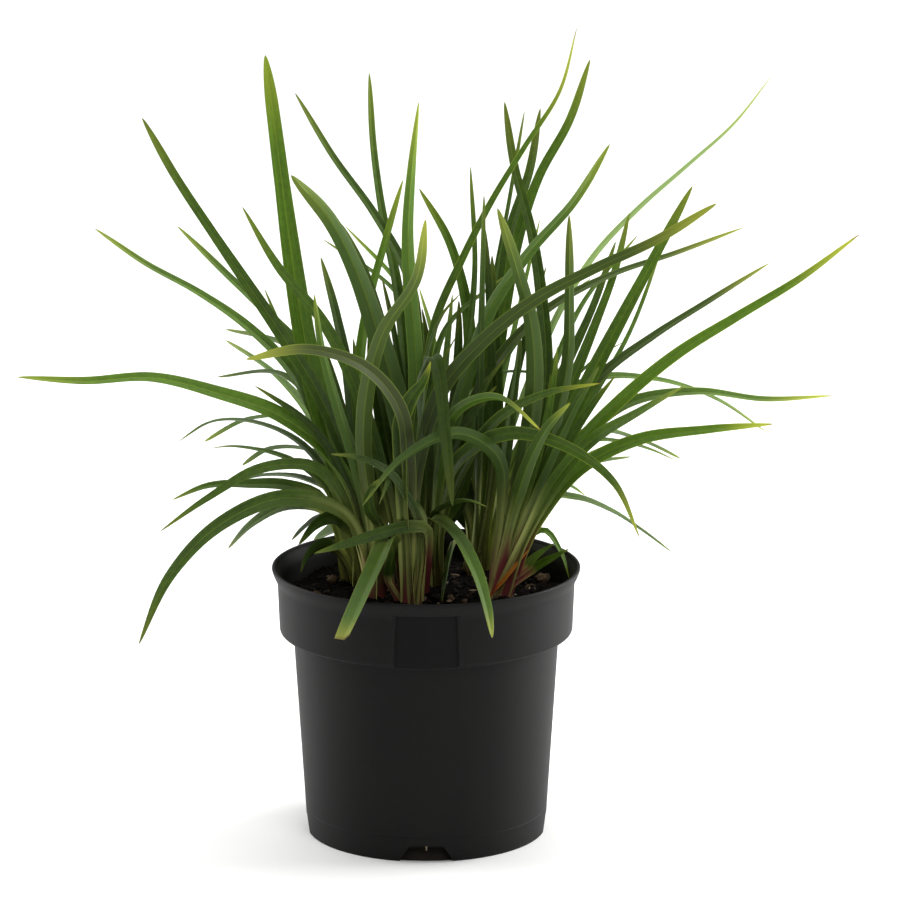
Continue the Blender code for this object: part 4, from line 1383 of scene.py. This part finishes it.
def turned(outline: Sequence[Point], steps: int, closed: bool = False, merge: float = 0.005) -> BMesh:
    """Turn an outline once round the upright axis.

    Args:
        outline: its corners, each a radius and a height.
        steps: the number of steps of the turn.
        closed: whether its last corner joins its first.
        merge: the distance within which corners become one.

    Returns:
        The turned shape, facing outwards.
    """
    bm = bmesh.new()
    corners = [bm.verts.new((radius, 0.0, height)) for radius, height in outline]
    edges = [bm.edges.new(pair) for pair in zip(corners, corners[1:] + corners[:closed])]
    bmesh.ops.spin(bm, geom=corners + edges, cent=(0, 0, 0), axis=(0, 0, 1), angle=tau, steps=steps,
                   use_merge=True)
    bmesh.ops.remove_doubles(bm, verts=bm.verts, dist=merge)
    bmesh.ops.recalc_face_normals(bm, faces=bm.faces)
    return bm


def slice_off(bm: BMesh, point: Vector, normal: Vector) -> None:
    """Cut off what lies on the side a plane faces, and close the cut.

    Args:
        bm: the shape that is cut.
        point: a point on the plane.
        normal: the side that is cut off.
    """
    geometry = bm.verts[:] + bm.edges[:] + bm.faces[:]
    made = bmesh.ops.bisect_plane(bm, geom=geometry, plane_co=point, plane_no=normal, clear_outer=True)
    rim = [item for item in made["geom_cut"] if isinstance(item, bmesh.types.BMEdge)]
    bmesh.ops.holes_fill(bm, edges=rim, sides=0)
    bmesh.ops.recalc_face_normals(bm, faces=bm.faces)


def cut(bm: BMesh, tool: BMesh) -> BMesh:
    """Take one closed shape out of another with an exact Boolean.

    Args:
        bm: what is cut, which is used up.
        tool: what cuts, which is used up.

    Returns:
        The result.
    """
    whole, taken = (placed("passing", mesh_of(shape)) for shape in (bm, tool))
    modifier = whole.modifiers.new("Cut", "BOOLEAN")
    modifier.operation, modifier.solver, modifier.object = "DIFFERENCE", "EXACT", taken
    result = bmesh.new()
    result.from_object(whole, bpy.context.evaluated_depsgraph_get())
    for item in (whole, taken):
        mesh = item.data
        bpy.data.objects.remove(item)
        bpy.data.meshes.remove(mesh)
    return result


@dataclass
class PottingMix:
    """The potting mix with its crumbs, bark chips and grit."""

    height: float = 110.0
    swell: float = 1.6
    crumb: float = 2.4
    gap: float = 0.9
    rings: int = 44
    sides: int = 176
    chips: int = 700
    pale_chips: int = 44
    grit: int = 24
    spread: float = 62.5
    chip_sharp: float = 25.0
    chip_tilt: float = 0.3
    chip_roughness: float = 0.35
    stone_roughness: float = 0.16
    stones: tuple[Point3, ...] = (
        (11.2, -11.1, 4.6), (17.1, -18.1, 4.0), (53.5, 26.5, 7.6), (47.5, 33.5, 5.6),
        (47.5, 13.4, 5.0), (-31.5, 3.1, 4.2), (-43.0, 20.0, 6.0), (-50.0, -4.0, 4.6))
    pot: NurseryPot = field(default_factory=NurseryPot)

    def surface(self, x: float, y: float) -> float:
        """Return the height of the mix: low swells and crumbs.

        Args:
            x: the place from left to right.
            y: the place from front to back.

        Returns:
            The height in millimetres.
        """
        swell = sin(0.11 * x + 1.0) * cos(0.13 * y - 0.4) + 0.5 * sin(0.31 * x - 0.23 * y)
        crumbs = sum(weight * noise.noise(Vector((pace * x, pace * y, layer)))
                     for weight, pace, layer in ((0.7, 0.22, 3.0), (0.5, 0.7, 9.0)))
        return self.height + self.swell * swell + self.crumb * crumbs

    def bed(self) -> BMesh:
        """Turn the body of the mix and raise its crumbs.

        Returns:
            The body as a bmesh.
        """
        pot = self.pot
        collar = pot.height - pot.collar_height
        shoulder = collar - pot.shoulder_drop
        floor = pot.channel_height + pot.floor + 0.3
        top = pot.collar_bottom_radius - pot.wall - self.gap
        side = [(0.0, floor), (pot.base_radius - pot.wall - self.gap, floor),
                (pot.body_top_radius - pot.wall - self.gap, shoulder + pot.wall + self.gap),
                (top, collar + pot.wall + self.gap)]
        cover = [(top * (1.0 - ring / self.rings), self.height) for ring in range(self.rings + 1)]
        bm = turned(side + cover, self.sides, merge=0.01)
        for vert in bm.verts:
            if vert.co.z > self.height - 0.1:
                vert.co.z = self.surface(vert.co.x, vert.co.y)
        return bm

    def scatter(self, count: int, sizes: tuple[Point, Point, Point], tones: Point, seed: int) -> BMesh:
        """Scatter loose flakes on the mix.

        Args:
            count: how many.
            sizes: the least and the greatest length, width and thickness.
            tones: the least and the greatest tone.
            seed: the seed of their places.

        Returns:
            A bmesh of all of them.
        """
        random = Random(seed)
        bm = bmesh.new()
        layer = bm.verts.layers.float.new("tone")
        for _ in range(count):
            distance = self.spread * random.random() ** 0.5
            angle = random.uniform(0.0, tau)
            x, y = distance * cos(angle), distance * sin(angle)
            size = [random.uniform(*limits) / 2 for limits in sizes]
            tilt = (Matrix.Rotation(random.gauss(0.0, self.chip_tilt), 4, "X")
                    @ Matrix.Rotation(random.gauss(0.0, self.chip_tilt), 4, "Y"))
            place = (Matrix.Translation((x, y, self.surface(x, y) + 0.35 * size[2]))
                     @ Matrix.Rotation(random.uniform(0.0, tau), 4, "Z") @ tilt)
            made = bmesh.ops.create_icosphere(bm, subdivisions=1, radius=1.0,
                                              matrix=place @ Matrix.Diagonal((*size, 1.0)))
            tone = random.uniform(*tones)
            bump = self.chip_roughness
            for vert in made["verts"]:
                vert.co += Vector([random.uniform(-bump, bump) * size[2] for _ in range(3)])
                vert[layer] = tone
        return bm

    def laid_stones(self) -> BMesh:
        """Lay the larger lumps at their places.

        Returns:
            A bmesh of all of them.
        """
        bm = bmesh.new()
        layer = bm.verts.layers.float.new("tone")
        for x, y, size in self.stones:
            place = (Matrix.Translation((x, y, self.surface(x, y) + 0.2 * size)) @ Matrix.Rotation(x, 4, "Z")
                     @ Matrix.Diagonal((0.5 * size, 0.36 * size, 0.3 * size, 1.0)))
            made = bmesh.ops.create_icosphere(bm, subdivisions=3, radius=1.0, matrix=place)
            for vert in made["verts"]:
                lumps = [noise.noise(0.45 * vert.co + Vector((0.0, 0.0, shift)))
                         for shift in (0.0, 7.0, 14.0)]
                vert.co += self.stone_roughness * size * Vector(lumps)
                vert[layer] = 0.62 + 0.03 * size
        return bm

    def build(self) -> None:
        """Build the mix with what lies on it."""
        bed = finished(self.bed(), "potting_bed", CompostedBark().make())
        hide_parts("potting_mix")
        bark = Chip("split_pine_bark", ("#050302", "#0f0a06", "#20160e", "#3f3023", "#75644f"),
                    grain_mm=1.1, roughness=0.85, shine=0.12)
        stone = Chip("quartz_grit", ("#564b3e", "#8a7e6d", "#b5ab99"), grain_mm=0.8, roughness=0.6, shine=0.4)
        small = self.scatter(self.chips, ((1.8, 5.5), (0.9, 2.6), (0.5, 1.3)), (0.05, 0.5), 11)
        join(small, self.scatter(self.pale_chips, ((3.0, 8.0), (1.6, 4.0), (0.8, 1.8)), (0.45, 0.95), 12))
        join(small, self.laid_stones())
        grains = self.scatter(self.grit, ((0.9, 2.4), (0.8, 1.8), (0.6, 1.3)), (0.2, 0.95), 13)
        for name, shapes, finish in (("bark_chips", small, bark), ("grit_grains", grains, stone)):
            finished(shapes, name, finish.make(), self.chip_sharp)
        log.info("potting mix: %d chips, %d grains", self.chips + self.pale_chips, self.grit)


@dataclass
class Studio:
    """The plain floor, the soft lights and the camera."""

    eye: Point3 = (0.0, -2125.8, 677.7)
    pitch: float = 13.25
    yaw: float = 0.0051
    lens: float = 193.58
    sensor: float = 36.0
    floor_colour: str = "#f4f4f3"
    floor_size: float = 30.0
    floor_roughness: float = 0.9
    sky: float = 0.26
    plant_middle: Point3 = (0.0, 0.0, 0.2)

    def camera(self) -> None:
        """Set the camera at the photograph's place."""
        data = bpy.data.cameras.new("camera")
        data.lens, data.sensor_width = self.lens, self.sensor
        data.clip_start, data.clip_end = 0.05, 100.0
        made = placed("camera", data)
        made.location = [MM * value for value in self.eye]
        made.rotation_euler = (pi / 2 - radians(self.pitch), 0.0, -self.yaw)
        bpy.context.scene.camera = made

    def soft_box(self, name: str, place: Point3, aim: Point3, size: Point, power: float) -> None:
        """Hang one area light.

        Args:
            name: its name.
            place: where it hangs, in metres.
            aim: the point that it faces.
            size: its width and height, in metres.
            power: its power, in watts.
        """
        data = bpy.data.lights.new(name, "AREA")
        data.shape = "RECTANGLE"
        data.size, data.size_y = size
        data.energy = power
        made = placed(name, data)
        made.location = place
        made.rotation_euler = (Vector(aim) - Vector(place)).to_track_quat("-Z", "Y").to_euler()

    def build(self) -> None:
        """Build floor, world, lights and camera."""
        made, tree, shader = new_material("matt_studio_paper")
        feed(tree, shader, {"Base Color": linear(self.floor_colour), "Roughness": self.floor_roughness})
        bm = bmesh.new()
        bmesh.ops.create_grid(bm, x_segments=1, y_segments=1, size=self.floor_size / 2)
        floor = placed("floor", mesh_of(bm, "floor"))
        floor.data.materials.append(made)
        world = bpy.data.worlds.new("studio")
        world.use_nodes = True
        feed(world.node_tree, world.node_tree.nodes["Background"], ((1.0, 1.0, 1.0, 1.0), self.sky))
        bpy.context.scene.world = world
        self.soft_box("overhead_box", (0.1, 1.8, 2.2), (0.1, 1.8, 0.0), (3.6, 4.2), 95.0)
        for name, place, power in (("front_box", (0.7, -1.7, 1.9), 18.0),
                                   ("right_box", (1.4, 0.5, 0.55), 35.0),
                                   ("left_box", (-1.4, 0.5, 0.55), 20.0)):
            self.soft_box(name, place, self.plant_middle, (1.2, 1.0), power)
        self.camera()
        bpy.context.scene.view_settings.view_transform = "Standard"


def main() -> None:
    """Build the plant, its pot and mix, and the studio."""
    logging.basicConfig(level=logging.INFO, format="%(name)s %(message)s")
    Studio().build()
    NurseryPot().build()
    PottingMix().build()
    Plant().build()


if __name__ == "__main__":
    main()
